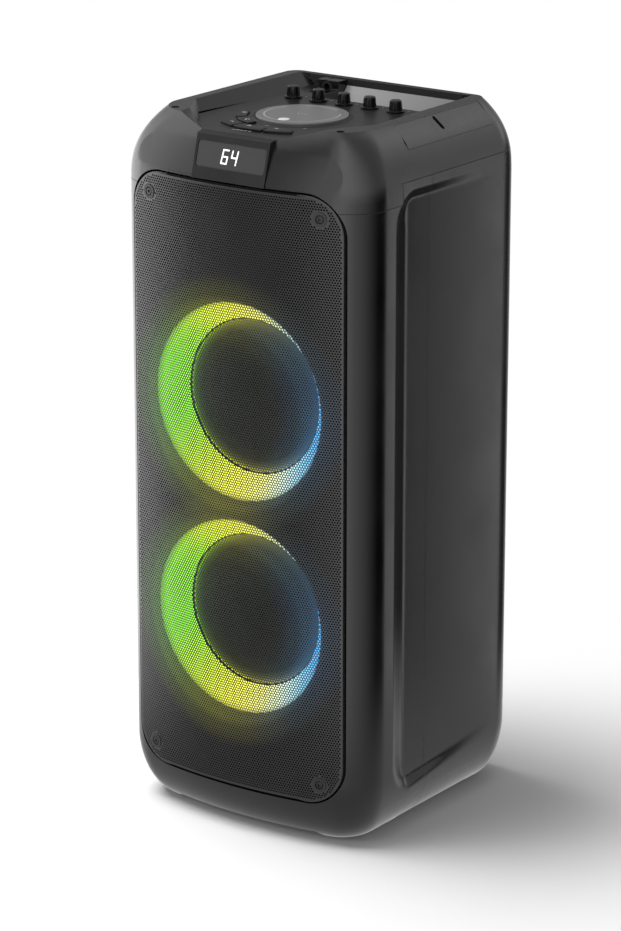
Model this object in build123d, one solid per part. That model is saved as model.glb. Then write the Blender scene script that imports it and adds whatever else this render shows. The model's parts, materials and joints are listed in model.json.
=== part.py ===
"""Free-standing party speaker.

Two woofers, each behind a funnel-shaped ring light, face forward behind one perforated grille.
The top cap carries a control deck with a jog dial, five keys and five knobs, a display block at
its front edge and a hand scoop with a grip bar at its rear edge.

Frame: +X to the right seen from the front, +Y to the rear, +Z up, origin on the floor at the
middle of the footprint. Millimetres.
"""

import os
from math import asin, atan2, cos, degrees, pi, radians, sin, sqrt, tan

from build123d import *

os.makedirs("parts", exist_ok=True)

# ---------------------------------------------------------------- driving dimensions
# cabinet
cabinet_width = 270.0
cabinet_depth = 274.0
cabinet_height = 651.5
half_width = cabinet_width / 2
half_depth = cabinet_depth / 2
wall = 3.0
fit_gap = 0.3
facet_lean = 21.5
front_radius = 450.0
front_corner = 40.0
rear_corner = 40.0
shoulder_height = 66.5
shoulder_inset = 27.5
shoulder_power = 2.6
shoulder_corner_loss = 4.0
base_round_height = 62.0
base_round_inset = 34.0
base_corner_share = 0.45
seam_y = -16.0
front_seam_z = cabinet_height - 64.0
side_seam_z = cabinet_height - 45.5
seam_step_y = 75.0 - half_depth
seam_gap = 0.15
shell_screw_margin = 76.0
shell_screw_heights = (110.0, 320.0, side_seam_z - shell_screw_margin)
shell_rib_x = half_width - 25.0
shell_rib_half = 6.0
shell_rib_reach = 14.0
screw_core_radius = 1.5
screw_clearance = 0.1
screw_head_radius = 3.0
screw_head = 2.4

# arches between the feet
arch_height = 7.5
front_arch_half_width = half_width - 57.0
side_arch_front_y = 99.0 - half_depth
side_arch_rear_y = half_depth - 61.0
foot_pad_radius = 8.5
foot_pad_thickness = 4.0
foot_pad_proud = 1.5
foot_pad_x = half_width - 41.0
foot_pad_front_y = 61.0 - half_depth
foot_pad_rear_y = half_depth - 45.0

# recessed side panels
recess_depth = 7.0
recess_ridge_y = 64.0 - half_depth
recess_valley_y = recess_ridge_y + 27.0
recess_end_y = half_depth - 45.0
recess_bottom_z = 36.0
recess_top_z = cabinet_height - 59.5
recess_corner = 34.0

# grille and its opening
pillar_width = 18.5
opening_half_width = half_width - pillar_width
opening_bottom_z = 41.0
opening_top_z = cabinet_height - 48.6
opening_corner = 38.0
sleeve_ledge = 7.5
grille_gap = 1.8
grille_thickness = 1.5
grille_set_back = 0.3
grille_rim = 6.0
grille_bar = 4.0
grille_columns = 12
grille_rows = 30
grille_frame_width = 9.0
grille_screw_x = opening_half_width - 23.6
grille_screw_bottom_z = opening_bottom_z + 20.4
grille_screw_top_z = opening_top_z - 21.5
washer_diameter = 13.4
washer_height = 2.2
washer_scallops = 16
washer_scallop = 0.8
washer_head_gap = 0.7
grille_screw_head = 6.6
grille_screw_head_height = 1.6
grille_screw_shank = 3.4
grille_screw_length = 26.0
grille_screw_socket = 1.6

# baffle, woofers and ring lights
baffle_set_back = 24.5
baffle_front_y = baffle_set_back - half_depth
baffle_depth = 24.0
baffle_ledge = 4.0
lower_woofer_z = 200.7
upper_woofer_z = 401.8
ring_mouth_radius = 94.6
ring_mouth_y = baffle_front_y - 5.5
ring_throat_radius = 70.2
ring_throat_y = ring_mouth_y + 20.8
ring_wall = 2.4
ring_rim = 2.2
ring_lip = 4.4
ring_lip_thickness = 2.0
woofer_flange_radius = 94.6
flange_inner = 69.8
woofer_flange = 2.5
woofer_hole_radius = 75.0
basket_wall = 1.6
basket_depth = 41.5
basket_window_width = 38.0
basket_window_depth = 25.0
magnet_radius = 46.0
magnet_height = 19.0
pole_radius = 17.6
coil_bore = 21.4
voice_coil_radius = 18.9
voice_coil_wall = 1.3
cone_depth = 24.0
cone_wall = 1.0
cone_gap = 0.4
cone_travel = 4.0
surround_outer_radius = 69.4
surround_roll_radius = 4.8
surround_wall = 0.8
surround_lip = 3.6
dust_cap_radius = 22.4
dust_cap_height = 6.0
dust_cap_wall = 0.8
led_board_inner = 75.0
led_board_outer = 89.0
led_count = 24
led_size = 3.0
led_height = 1.2

# control deck
deck_drop = 9.0
deck_z = cabinet_height - deck_drop
deck_thickness = 3.0
deck_half_width = 77.0
deck_front_half_width = 39.5
deck_set_back = 19.0
deck_front_y = deck_set_back - half_depth
deck_knee_x = 60.0
deck_knee_y = deck_front_y + 20.0
deck_shoulder_y = deck_knee_y + 24.0
deck_rear_y = deck_shoulder_y + 125.0
deck_seat_width = 6.0
deck_post_x = deck_half_width - 18.0
deck_post_front_y = deck_shoulder_y + 14.0
deck_post_rear_y = deck_rear_y - 31.0
deck_post_radius = 3.0
wing_front_half_width = 76.0
wing_front_flare = 1.0
wing_bend_back = 10.0
wing_knee_half_width = 80.0
wing_knee_back = 12.0
wing_knee_y = deck_shoulder_y + 24.0
wing_half_width = half_width - 35.0
wing_taper = 3.0
rim_lip = 1.0
groove_depth = 3.0
groove_gap = 2.0
groove_width = 3.0
groove_tip_gap = 0.5
groove_front_y = deck_shoulder_y + 2.0
groove_length = 77.0
board_gap = 14.0
board_margin = 15.0
board_room = 4.0
board_front_room = 18.0

# jog dial
dial_y = deck_front_y + 93.1
dial_radius = 41.4
dial_thickness = 2.2
dial_proud = 2.5
dial_edge = 0.5
dial_ring_width = 3.8
dial_ring_proud = 0.8
dial_dimple_x = -0.5
dial_dimple_y = -28.5
dial_dimple_radius = 5.2
dial_dimple_depth = 0.6
dial_spindle_radius = 3.0

# knobs
knob_y = dial_y + 63.7
knob_pitch = 28.2
knob_count = 5
knob_flange_radius = 8.2
knob_flange = 1.3
knob_radius = 6.1
knob_top_radius = 5.3
knob_height = 10.5
knob_ribs = 14
knob_bore_radius = 3.0
knob_turn_gap = 0.05
knob_shaft_room = 0.5
knob_lift = 0.4
knob_flute = 0.75
knob_flute_out = 0.2
knob_edge = 0.6
pot_half = 5.5
pot_height = 8.0
encoder_half = 7.0
encoder_height = 8.0

# keys: inner ring and outer ring of arcs about the dial
key_gap = 0.35
key_proud = 1.8
key_travel = 0.8
key_corner = 1.2
key_edge = 0.4
key_flange_gap = 0.1
key_flange_width = 0.6
key_flange_thickness = 1.2
key_stem_radius = 2.0
key_stem_gap = 0.1
switch_half = 3.0
switch_height = 5.0
inner_key_radii = (49.0, 58.5)
inner_key_angles = ((196.0, 222.0), (226.0, 252.0))
outer_key_radii = (62.5, 76.0)
outer_key_angles = ((235.0, 251.5), (253.0, 277.5), (279.0, 299.0))

# display block
display_half_width = deck_front_half_width
display_set_back = 1.0
display_bottom_y = display_set_back - half_depth
display_slope = 10.3
display_top_y = display_bottom_y + display_slope
display_top_z = deck_z - 1.5
display_back_y = deck_front_y + 10.0
display_tongue = 5.0
display_post = 2.6
window_height = 23.0
window_top_margin = 6.0
window_set_back = 0.8
window_thickness = 1.6
window_corner = 3.0
module_depth = 8.0

# hand scoop and grip
grip_front_y = half_depth - 34.0
grip_height = 5.8
grip_depth = 6.2
grip_half_width = half_width - 51.0
grip_rib_count = 3
grip_rib = 0.6
grip_rib_depth = 0.5
scoop_left_x = -42.0
scoop_right_x = grip_half_width - 6.0
scoop_front_y = deck_rear_y + wall
scoop_depth = 26.5
scoop_floor_z = deck_z - scoop_depth
scoop_floor_y = scoop_front_y + 20.0
scoop_lip_run = 5.0
scoop_lip_drop = 6.0
scoop_toe_run = 5.0
scoop_toe_rise = 2.0
scoop_heel_run = 4.0
scoop_heel_wall = 5.0
side_socket_x = scoop_left_x - 14.0
side_socket_radius = 6.4
side_socket_flange = 6.0
side_socket_length = 14.0
side_socket_cover = 1.5
side_socket_floor = 2.0

# shoulder trims
trim_front_y = wing_knee_y + 10.0
trim_rear_y = half_depth - 45.0
trim_top_x = half_width - 26.4
trim_top_z = cabinet_height - 1.5
trim_fold_x = half_width - 13.6
trim_fold_z = cabinet_height - 14.5
trim_bottom_x = half_width - 10.2
trim_bottom_z = cabinet_height - 20.5
trim_thickness = 2.6
trim_slot_y = 20.0
trim_slot_length = 15.0
trim_slot_width = 4.6
trim_slot_turn = 12.0

# cap screws
cap_screw_x = half_width - 45.4
cap_screw_y = baffle_front_y + baffle_depth - 3.5
cap_screw_well_radius = 4.0
cap_screw_floor = 4.0
cap_screw_bite = 14.0

# rear panel and what it carries
panel_margin = 7.0
panel_width = 2 * (half_width - rear_corner - panel_margin)
panel_height = 120.0
panel_z = 150.0
panel_thickness = 2.5
panel_corner = 8.0
panel_recess = 4.0
panel_lip = 6.0
jack_count = 4
jack_x = 22.0 - panel_width / 2
jack_row = 28.0
jack_pitch = 24.0
jack_bore = 3.3
jack_barrel = 5.2
jack_nut_radius = 6.6
jack_nut = 2.2
jack_half = 8.0
jack_length = 26.0
port_radius = 28.0
port_wall = 2.5
port_length = 120.0
port_z = 470.0
port_flare = 7.0
port_lip = 2.5
power_row = 30.0
inlet_x = -40.0
inlet_width = 28.0
inlet_height = 20.0
inlet_flange = 1.8
inlet_pin_pitch = 8.6
inlet_pin_radius = 1.2
inlet_pin_depth = 6.0
inlet_cavity = (22.0, 13.0, 14.0)
rocker_width = 13.0
rocker_height = 19.0
rocker_angle = 9.0
rocker_room = 0.9
rocker_pin_radius = 1.5
switch_x = 30.0
switch_depth = 12.0
usb_x = panel_width / 2 - 42.0
usb_width = 14.6
usb_height = 7.4
usb_cavity = (12.6, 5.2, 12.0)
panel_screw_radius = 1.3
panel_screw_inset = 4.5

# electronics and battery
board_thickness = 1.6
amplifier_standoff = 34.0
amplifier_half_width = panel_width / 2 - 18.0
amplifier_half_height = 46.0
sink_half_width = 50.0
sink_half_height = 34.0
sink_depth = 22.0
sink_fins = 11
sink_fin = 2.0
battery_width = 150.0
battery_depth = 60.0
battery_height = 46.0
battery_y = 14.0

shoulder_start = cabinet_height - shoulder_height
deck_seat_z = deck_z - deck_thickness
roof_z = deck_seat_z - wall
beyond = 20.0  # how far a cutter runs past the surface that it opens


# ---------------------------------------------------------------- small helpers
def block(x_range, y_range, z_range):
    """Box between two corners."""
    sizes = [b - a for a, b in (x_range, y_range, z_range)]
    centre = [(a + b) / 2 for a, b in (x_range, y_range, z_range)]
    return Pos(*centre) * Box(*sizes)


def along_y(radius, x, z, y_from, y_to):
    """Round bar or bore parallel to Y."""
    middle = (y_from + y_to) / 2
    return Pos(x, middle, z) * Rot(90, 0, 0) * Cylinder(radius, abs(y_to - y_from))


def upright(radius, x, y, z_from, z_to):
    """Round bar or bore parallel to Z."""
    return Pos(x, y, (z_from + z_to) / 2) * Cylinder(radius, z_to - z_from)


def turned_about_y(points, x, z):
    """Solid of revolution about a line parallel to Y, from (radius, y) points."""
    profile = make_face(Polyline(*[(r, y, 0) for r, y in points], close=True))
    return Pos(x, 0, z) * revolve(profile, Axis.Y)


def turned_about_z(points, x, y):
    """Solid of revolution about a line parallel to Z, from (radius, z) points."""
    profile = make_face(Polyline(*[(r, 0, z) for r, z in points], close=True))
    return Pos(x, y, 0) * revolve(profile, Axis.Z)


def prism_x(points, x_range):
    """Prism along X from (y, z) points."""
    face = make_face(Polyline(*[(x_range[0], y, z) for y, z in points], close=True))
    return extrude(face, x_range[1] - x_range[0], dir=(1, 0, 0))


def prism_z(points, z_range):
    """Prism along Z from (x, y) points."""
    face = make_face(Polyline(*[(x, y, z_range[0]) for x, y in points], close=True))
    return extrude(face, z_range[1] - z_range[0], dir=(0, 0, 1))


def rounded_front(half, bottom, top, corner, y_range):
    """Prism along Y with a rounded rectangle section."""
    face = Plane.XZ * RectangleRounded(2 * half, top - bottom, corner)
    shape = extrude(face, y_range[1] - y_range[0], dir=(0, 1, 0))
    return Pos(0, y_range[0], (bottom + top) / 2) * shape


def mirrored(shape):
    """The same shape on the other side of the centre plane."""
    return mirror(shape, Plane.YZ)


def save(name, *solids):
    """Write one node: a single solid, or a group of separate ones."""
    shape = solids[0] if len(solids) == 1 else Compound(children=list(solids))
    export_step(shape, f"parts/{name}.step")


# ---------------------------------------------------------------- cabinet envelope
def shoulder_step(z):
    """How far the outline has drawn in at height z on the shoulder."""
    rise = max(0.0, z - shoulder_start) / shoulder_height
    return shoulder_inset * rise**shoulder_power


def base_step(z):
    """How far the outline has drawn in at height z on the rounded base, a quarter ellipse."""
    drop = max(0.0, base_round_height - z) / base_round_height
    return base_round_inset * (1 - sqrt(1 - drop**2))


def outline(gap, z):
    """Plan outline of the cabinet at height z, drawn in by gap: a bowed front, round corners."""
    shoulder, base = shoulder_step(z), base_step(z)
    inset = gap + shoulder + base
    front_loss = shoulder_corner_loss * shoulder / shoulder_inset + base_corner_share * base
    half = half_width - inset
    radius = front_radius - inset
    centre_y = front_radius - half_depth
    side_y = centre_y - sqrt(radius**2 - half**2)
    rear_y = half_depth - inset
    bow = ThreePointArc((-half, side_y), (0, centre_y - radius), (half, side_y))
    sides = Polyline((half, side_y), (half, rear_y), (-half, rear_y), (-half, side_y))
    face = make_face(Curve() + [bow, sides])
    face = fillet(face.vertices().sort_by(Axis.Y)[:2], front_corner - gap - front_loss)
    rear_points = [v for v in face.vertices() if v.Y > rear_y - 0.01]
    face = fillet(rear_points, rear_corner - inset)
    return Pos(0, 0, z) * face


def envelope(gap, bottom, top):
    """Cabinet form drawn in by gap, between two heights."""
    shares = [0.0, 0.08, 0.2, 0.4, 0.7, 1.0]
    base_levels = [bottom + s * (base_round_height - bottom) for s in shares]
    shoulder_levels = [top - s * (top - shoulder_start) for s in reversed(shares)]
    base = loft([outline(gap, z) for z in base_levels])
    middle = extrude(outline(gap, base_round_height), shoulder_start - base_round_height)
    shoulder = loft([outline(gap, z) for z in shoulder_levels])
    return base + middle + shoulder


def facet_keeper(gap):
    """Leaning cylinder: what lies outside it is cut off above the grille, as the front facets."""
    lean = radians(facet_lean)
    radius = front_radius / cos(lean)
    centre_y = radius / cos(lean) - half_depth + gap / cos(lean)
    tall = 4 * cabinet_height
    return Pos(0, centre_y, opening_top_z) * Rot(-facet_lean, 0, 0) * Cylinder(radius, tall)


def recess_cutter(margin=0.0):
    """What is taken from the right side: an S-shaped dip behind the pillar that fades rearward."""
    side = half_width
    deep = side - recess_depth
    dip = Spline(
        (side, recess_ridge_y),
        (side - 0.55 * recess_depth, (recess_ridge_y + recess_valley_y) / 2),
        (deep, recess_valley_y),
        (deep + 0.28 * recess_depth, seam_y),
        (side - 0.3 * recess_depth, seam_y + 0.4 * (recess_end_y - seam_y)),
        (side, recess_end_y),
    )
    outside = Polyline((side, recess_end_y), (side + beyond, recess_end_y),
                       (side + beyond, recess_ridge_y), (side, recess_ridge_y))
    plan = make_face(Curve() + [dip, outside])
    height = recess_top_z - recess_bottom_z + 2 * margin
    cutter = Pos(0, 0, recess_bottom_z - margin) * extrude(plan, height)
    window = Plane.YZ * RectangleRounded(2 * (recess_end_y - recess_ridge_y + margin), height,
                                         recess_corner + margin)
    window = extrude(window, 2 * cabinet_width, both=True)
    return cutter & (Pos(0, recess_end_y, (recess_bottom_z + recess_top_z) / 2) * window)


def base_arches():
    """Two tunnels crossing under the cabinet, which leave a foot at each corner."""
    slope = arch_height
    low, high = -beyond, arch_height
    long_way = [(-front_arch_half_width - slope, 0), (-front_arch_half_width, high),
                (front_arch_half_width, high), (front_arch_half_width + slope, 0),
                (front_arch_half_width + slope, low), (-front_arch_half_width - slope, low)]
    face = make_face(Polyline(*[(x, -cabinet_depth, z) for x, z in long_way], close=True))
    tunnel = extrude(face, 2 * cabinet_depth, dir=(0, 1, 0))
    cross_way = [(side_arch_front_y - slope, 0), (side_arch_front_y, high),
                 (side_arch_rear_y, high), (side_arch_rear_y + slope, 0),
                 (side_arch_rear_y + slope, low), (side_arch_front_y - slope, low)]
    return tunnel + prism_x(cross_way, (-cabinet_width, cabinet_width))


outer_form = envelope(0.0, 0.0, cabinet_height) & facet_keeper(0.0)
inner_form = envelope(wall, arch_height + wall, roof_z) & facet_keeper(wall)
right_recess = recess_cutter()
outer_form = outer_form - right_recess - mirrored(right_recess)
inner_recess = Pos(-wall, 0, 0) * recess_cutter(wall)
inner_form = inner_form - inner_recess - mirrored(inner_recess)

# ---------------------------------------------------------------- grille opening and sleeve
baffle_back_y = baffle_front_y + baffle_depth
sleeve_back_y = baffle_back_y + wall


def opening(grow, y_range):
    """Prism through the front with the outline of the grille opening, grown by grow."""
    return rounded_front(opening_half_width + grow, opening_bottom_z - grow,
                         opening_top_z + grow, opening_corner + grow, y_range)


sleeve_outer = opening(wall, (-cabinet_depth, sleeve_back_y)) & outer_form
sleeve_hole = opening(0, (-cabinet_depth, baffle_back_y))
ledge_hole = opening(-sleeve_ledge, (-cabinet_depth, sleeve_back_y + beyond))
hollow_form = (outer_form - inner_form) + sleeve_outer - sleeve_hole - ledge_hole
hollow_form = hollow_form - base_arches()

# ---------------------------------------------------------------- splitting into shells and cap
everything = 2 * cabinet_width
side_to_side = (-everything, everything)
front_zone = block(side_to_side, (-everything, seam_y - seam_gap), (foot_pad_proud, side_seam_z))
rear_zone = block(side_to_side, (seam_y + seam_gap, everything), (foot_pad_proud, side_seam_z))
cap_front_step = block(side_to_side, (-everything, seam_step_y), (front_seam_z, side_seam_z))
cap_zone = block(side_to_side, side_to_side, (side_seam_z, cabinet_height + beyond)) + cap_front_step
seam_sheet = block(side_to_side, side_to_side, (side_seam_z - 2 * seam_gap, side_seam_z))
seam_sheet += block(side_to_side, (-everything, seam_step_y + 2 * seam_gap),
                    (front_seam_z - 2 * seam_gap, side_seam_z))

front_shell = (hollow_form & front_zone) - seam_sheet
rear_shell = (hollow_form & rear_zone) - seam_sheet
top_cap = hollow_form & cap_zone

# ---------------------------------------------------------------- feet and shell joints
foot_places = [(x, y) for y in (foot_pad_front_y, foot_pad_rear_y) for x in (-foot_pad_x, foot_pad_x)]
foot_pads = []
for x, y in foot_places:
    foot_pads.append(upright(foot_pad_radius, x, y, 0, foot_pad_thickness))
    pocket = upright(foot_pad_radius + fit_gap / 2, x, y, -beyond, foot_pad_thickness)
    front_shell -= pocket
    rear_shell -= pocket

shell_screws = []
for z in shell_screw_heights:
    for side in (-1, 1):
        rib_x = sorted((side * shell_rib_x, side * half_width))
        rib = block(rib_x, (seam_y - shell_rib_reach, seam_y + shell_rib_reach),
                    (z - shell_rib_half, z + shell_rib_half)) & outer_form
        front_shell += rib & front_zone
        rear_shell += rib & rear_zone
        x = side * (shell_rib_x + shell_rib_half)
        back_y = seam_y + shell_rib_reach
        front_shell -= along_y(screw_core_radius, x, z, seam_y - shell_rib_reach + 2, seam_y)
        rear_shell -= along_y(screw_core_radius + screw_clearance, x, z, seam_y, back_y)
        shank = along_y(screw_core_radius, x, z, seam_y - shell_rib_reach + 4, back_y)
        shell_screws.append(shank + along_y(screw_head_radius, x, z, back_y, back_y + screw_head))

# ---------------------------------------------------------------- top cap
deck_points = [(deck_front_half_width, deck_front_y), (deck_knee_x, deck_knee_y),
               (deck_half_width, deck_shoulder_y), (deck_half_width, deck_rear_y)]


def both_sides(points):
    """Closed plan polygon from its right-hand half."""
    return points + [(-x, y) for x, y in reversed(points)]


def polygon(points, z):
    """Flat face at height z."""
    return make_face(Polyline(*[(x, y, z) for x, y in points], close=True))


front_reach = -half_depth - beyond
rim_top = cabinet_height + rim_lip
well_floor = [(deck_front_half_width, front_reach)] + deck_points[:3] + [(deck_half_width, grip_front_y)]
well_rim = [(wing_front_half_width, front_reach),
            (wing_front_half_width + wing_front_flare, deck_knee_y - wing_bend_back),
            (wing_knee_half_width, deck_shoulder_y - wing_knee_back), (wing_half_width, wing_knee_y),
            (wing_half_width - wing_taper, grip_front_y + rim_lip)]
deck_well = loft([polygon(both_sides(well_floor), deck_z), polygon(both_sides(well_rim), rim_top)],
                 ruled=True)
deck_outline = polygon(both_sides(deck_points), deck_seat_z)
deck_seat = extrude(deck_outline, cabinet_height, dir=(0, 0, 1))
window_outline = offset(deck_outline, amount=-deck_seat_width, kind=Kind.INTERSECTION)
display_shelf_y = display_back_y + wall
deck_window = extrude(Pos(0, 0, -beyond) * window_outline, cabinet_height, dir=(0, 0, 1))
deck_window &= block(side_to_side, (display_shelf_y, deck_rear_y), (0, cabinet_height))

scoop_range = (scoop_left_x, scoop_right_x)
scoop_points = [(scoop_front_y, deck_z + beyond), (scoop_front_y, deck_z),
                (scoop_front_y + scoop_lip_run, deck_z - scoop_lip_drop),
                (scoop_floor_y - scoop_toe_run, scoop_floor_z + scoop_toe_rise),
                (scoop_floor_y + scoop_heel_run, scoop_floor_z),
                (grip_front_y, cabinet_height - grip_height), (grip_front_y, deck_z + beyond)]
scoop = prism_x(scoop_points, scoop_range)
tub_back_points = [(scoop_floor_y + scoop_heel_run + scoop_heel_wall, scoop_floor_z - wall),
                   (grip_front_y + wall, roof_z), (half_depth, roof_z), (half_depth, scoop_floor_z - wall)]
tub = block((scoop_left_x - wall, scoop_right_x + wall), (deck_rear_y, half_depth),
            (scoop_floor_z - wall, cabinet_height)) & outer_form
tub -= prism_x(tub_back_points, side_to_side)

socket_y = grip_front_y + grip_depth - wall
socket_z = cabinet_height - side_socket_cover - side_socket_flange
socket_front_y = grip_front_y - side_socket_length
socket_block = block((side_socket_x - side_socket_flange - wall, scoop_left_x), (socket_front_y, socket_y),
                     (deck_z - wall, cabinet_height - rim_lip))
socket_hole = along_y(side_socket_radius, side_socket_x, socket_z, socket_front_y - beyond,
                      grip_front_y - wall)

tongue_top_z = opening_top_z + wall
tongue_back_y = display_bottom_y + display_tongue
display_back = [(tongue_back_y, opening_top_z), (tongue_back_y, tongue_top_z),
                (display_back_y, tongue_top_z), (display_back_y, deck_seat_z), (deck_front_y, deck_seat_z)]
display_face = [(display_bottom_y, opening_top_z), (display_top_y, display_top_z), (deck_front_y, deck_z)]
display_range = (-display_half_width, display_half_width)
display_form = prism_x(display_back + display_face[::-1], display_range)
display_room = prism_x(display_back + [(deck_front_y, cabinet_height), (front_reach, cabinet_height),
                                       (front_reach, opening_top_z)],
                       (display_range[0] - seam_gap, display_range[1] + seam_gap))

grip_room = block((-grip_half_width, grip_half_width), (grip_front_y, grip_front_y + grip_depth),
                  (cabinet_height - grip_height, cabinet_height + beyond))
groove_inner_x = deck_half_width + groove_gap
groove = prism_z([(groove_inner_x, groove_front_y), (groove_inner_x + groove_width, groove_front_y),
                  (deck_half_width + groove_tip_gap, groove_front_y + groove_length)],
                 (deck_z - groove_depth, cabinet_height))

top_cap = top_cap + tub - deck_well
top_cap = top_cap - deck_seat - deck_window - scoop
top_cap = top_cap + (socket_block & outer_form) - socket_hole
top_cap = top_cap - display_room - grip_room - groove - mirrored(groove)

# cap screws stand in deep wells and bite into the top edge of the baffle
cap_screws = []
cap_screw_floor_z = opening_top_z + wall + cap_screw_floor
cap_screw_tip_z = opening_top_z - cap_screw_bite
for x in (-cap_screw_x, cap_screw_x):
    tower = upright(cap_screw_well_radius + wall, x, cap_screw_y, opening_top_z - 2 * wall, roof_z)
    top_cap += (tower - sleeve_hole) & outer_form
    top_cap -= upright(cap_screw_well_radius, x, cap_screw_y, cap_screw_floor_z, cabinet_height)
    top_cap -= upright(screw_core_radius + screw_clearance, x, cap_screw_y, cap_screw_tip_z, cabinet_height)
    shank = upright(screw_core_radius, x, cap_screw_y, cap_screw_tip_z, cap_screw_floor_z)
    cap_screws.append(shank + upright(screw_head_radius, x, cap_screw_y, cap_screw_floor_z,
                                      cap_screw_floor_z + screw_head))

# ---------------------------------------------------------------- shoulder trims
trim_section = [(trim_top_x, trim_top_z), (trim_fold_x, trim_fold_z), (trim_bottom_x, trim_bottom_z),
                (trim_bottom_x - trim_thickness, trim_bottom_z),
                (trim_fold_x - trim_thickness, trim_fold_z - 0.4 * trim_thickness),
                (trim_top_x - 0.6 * trim_thickness, trim_top_z - trim_thickness)]
bed_top_z = cabinet_height + wall
bed_foot_z = trim_bottom_z - 2 * wall
bed_section = [(trim_top_x - 2 * wall, bed_top_z), (half_width, bed_top_z), (half_width, bed_foot_z),
               (trim_bottom_x - trim_thickness - wall, bed_foot_z),
               (trim_fold_x - trim_thickness - wall, trim_fold_z - wall),
               (trim_top_x - 2 * wall, trim_top_z - 2 * wall)]


def prism_y(points, y_range):
    """Prism along Y from (x, z) points."""
    face = make_face(Polyline(*[(x, y_range[0], z) for x, z in points], close=True))
    return extrude(face, y_range[1] - y_range[0], dir=(0, 1, 0))


trim_bed = prism_y(bed_section, (trim_front_y - wall, trim_rear_y + wall)) & outer_form
trim_outside = [(trim_top_x, trim_top_z), (trim_fold_x, trim_fold_z), (trim_bottom_x, trim_bottom_z),
                (trim_bottom_x + beyond, trim_bottom_z), (trim_bottom_x + beyond, cabinet_height + beyond),
                (trim_top_x, cabinet_height + beyond)]
trim_range = (trim_front_y, trim_rear_y)
trim_room = prism_y(trim_section, trim_range) + prism_y(trim_outside, trim_range)
facet_run = (trim_fold_x - trim_top_x, trim_fold_z - trim_top_z)
facet_tilt = degrees(atan2(-facet_run[1], facet_run[0]))
slot_blank = extrude(SlotOverall(trim_slot_length, trim_slot_width), beyond, both=True)
slot_middle = (trim_top_x + facet_run[0] / 2, trim_slot_y, trim_top_z + facet_run[1] / 2)
trim_slot = Pos(*slot_middle) * Rot(0, facet_tilt, 0) * Rot(0, 0, trim_slot_turn) * slot_blank
trim_slot &= Pos(*slot_middle) * Rot(0, facet_tilt, 0) * Box(beyond, beyond, 3 * trim_thickness)
shoulder_trim = prism_y(trim_section, (trim_front_y + seam_gap, trim_rear_y - seam_gap))
shoulder_trim -= trim_slot
top_cap = top_cap + trim_bed + mirrored(trim_bed) - trim_room - mirrored(trim_room)
top_cap = top_cap - trim_slot - mirrored(trim_slot)

# ---------------------------------------------------------------- grille, its frame and screws
bow_centre_y = front_radius - half_depth


def front_body(gap):
    """Upright prism with the cabinet's plan outline, drawn in by gap."""
    return Pos(0, 0, -base_round_height) * extrude(outline(gap, base_round_height), cabinet_height)


def at_front(x, z, depth):
    """Place a shape that was drawn about Z so that its +Z points out of the bowed front."""
    angle = asin(x / front_radius)
    distance = front_radius - depth
    place = Pos(distance * sin(angle), bow_centre_y - distance * cos(angle), z)
    return place * Rot(0, 0, degrees(angle)) * Rot(90, 0, 0)


grille_back = grille_set_back + grille_thickness
in_opening = opening(-grille_gap, (front_reach, baffle_front_y))
grille = (front_body(grille_set_back) - front_body(grille_back)) & in_opening
screw_places = [(x, z) for z in (grille_screw_bottom_z, grille_screw_top_z)
                for x in (-grille_screw_x, grille_screw_x)]

frame_body = front_body(grille_back) & in_opening
grille_frame = frame_body - opening(-grille_gap - grille_frame_width, (front_reach, baffle_front_y + beyond))
grille_washers, grille_screws, screw_cores = [], [], []
washer_seat = washer_height - grille_screw_head_height
washer_recess_radius = grille_screw_head / 2 + washer_head_gap
for x, z in screw_places:
    place = at_front(x, z, grille_back)
    grille -= place * Cylinder(washer_diameter / 2 + fit_gap, 4 * grille_thickness)
    boss = place * Cylinder(washer_diameter / 2 + wall, 2 * beyond)
    grille_frame += boss & frame_body
    screw_cores.append(place * Cylinder(grille_screw_shank / 2, 2 * grille_screw_length))
    washer = Cylinder(washer_diameter / 2, washer_height)
    scallop = Pos(washer_diameter / 2 + fit_gap, 0, 0) * Cylinder(washer_scallop, 2 * washer_height)
    washer -= [Rot(0, 0, turn * 360 / washer_scallops) * scallop for turn in range(washer_scallops)]
    washer = Pos(0, 0, washer_height / 2) * washer
    washer -= Pos(0, 0, washer_seat + washer_height / 2) * Cylinder(washer_recess_radius, washer_height)
    washer -= Cylinder(grille_screw_shank / 2 + screw_clearance, 3 * washer_height)
    grille_washers.append(place * washer)
    head = Pos(0, 0, washer_seat + grille_screw_head_height / 2) * Cylinder(grille_screw_head / 2,
                                                                           grille_screw_head_height)
    head = fillet(head.edges().sort_by(Axis.Z)[-1], 0.7)
    socket = extrude(RegularPolygon(grille_screw_socket, 6), grille_screw_head_height)
    head -= Pos(0, 0, washer_seat + 0.6) * socket
    shank = Cylinder(grille_screw_shank / 2, grille_screw_length)
    shank = Pos(0, 0, washer_seat - grille_screw_length / 2) * shank
    grille_screws.append(place * (head + shank))
screw_hole = Cylinder(grille_screw_shank / 2 + screw_clearance, 4 * beyond)
grille_frame -= [at_front(x, z, grille_back) * screw_hole for x, z in screw_places]

# the sheet is opened by a plain grid, which stands for its fine perforation, clear of rim and screws
rim_half_x = opening_half_width - grille_gap - grille_rim
rim_bottom_z = opening_bottom_z + grille_gap + grille_rim
rim_top_z = opening_top_z - grille_gap - grille_rim
rim_corner = opening_corner - grille_gap - grille_rim
grid_step_x = (2 * rim_half_x + grille_bar) / grille_columns
grid_step_z = (rim_top_z - rim_bottom_z + grille_bar) / grille_rows


def in_rim(x, z):
    """Whether a point lies inside the rounded rim of the sheet."""
    dx = max(0.0, abs(x) - (rim_half_x - rim_corner))
    dz = max(0.0, rim_bottom_z + rim_corner - z, z - (rim_top_z - rim_corner))
    return dx**2 + dz**2 <= rim_corner**2


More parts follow.
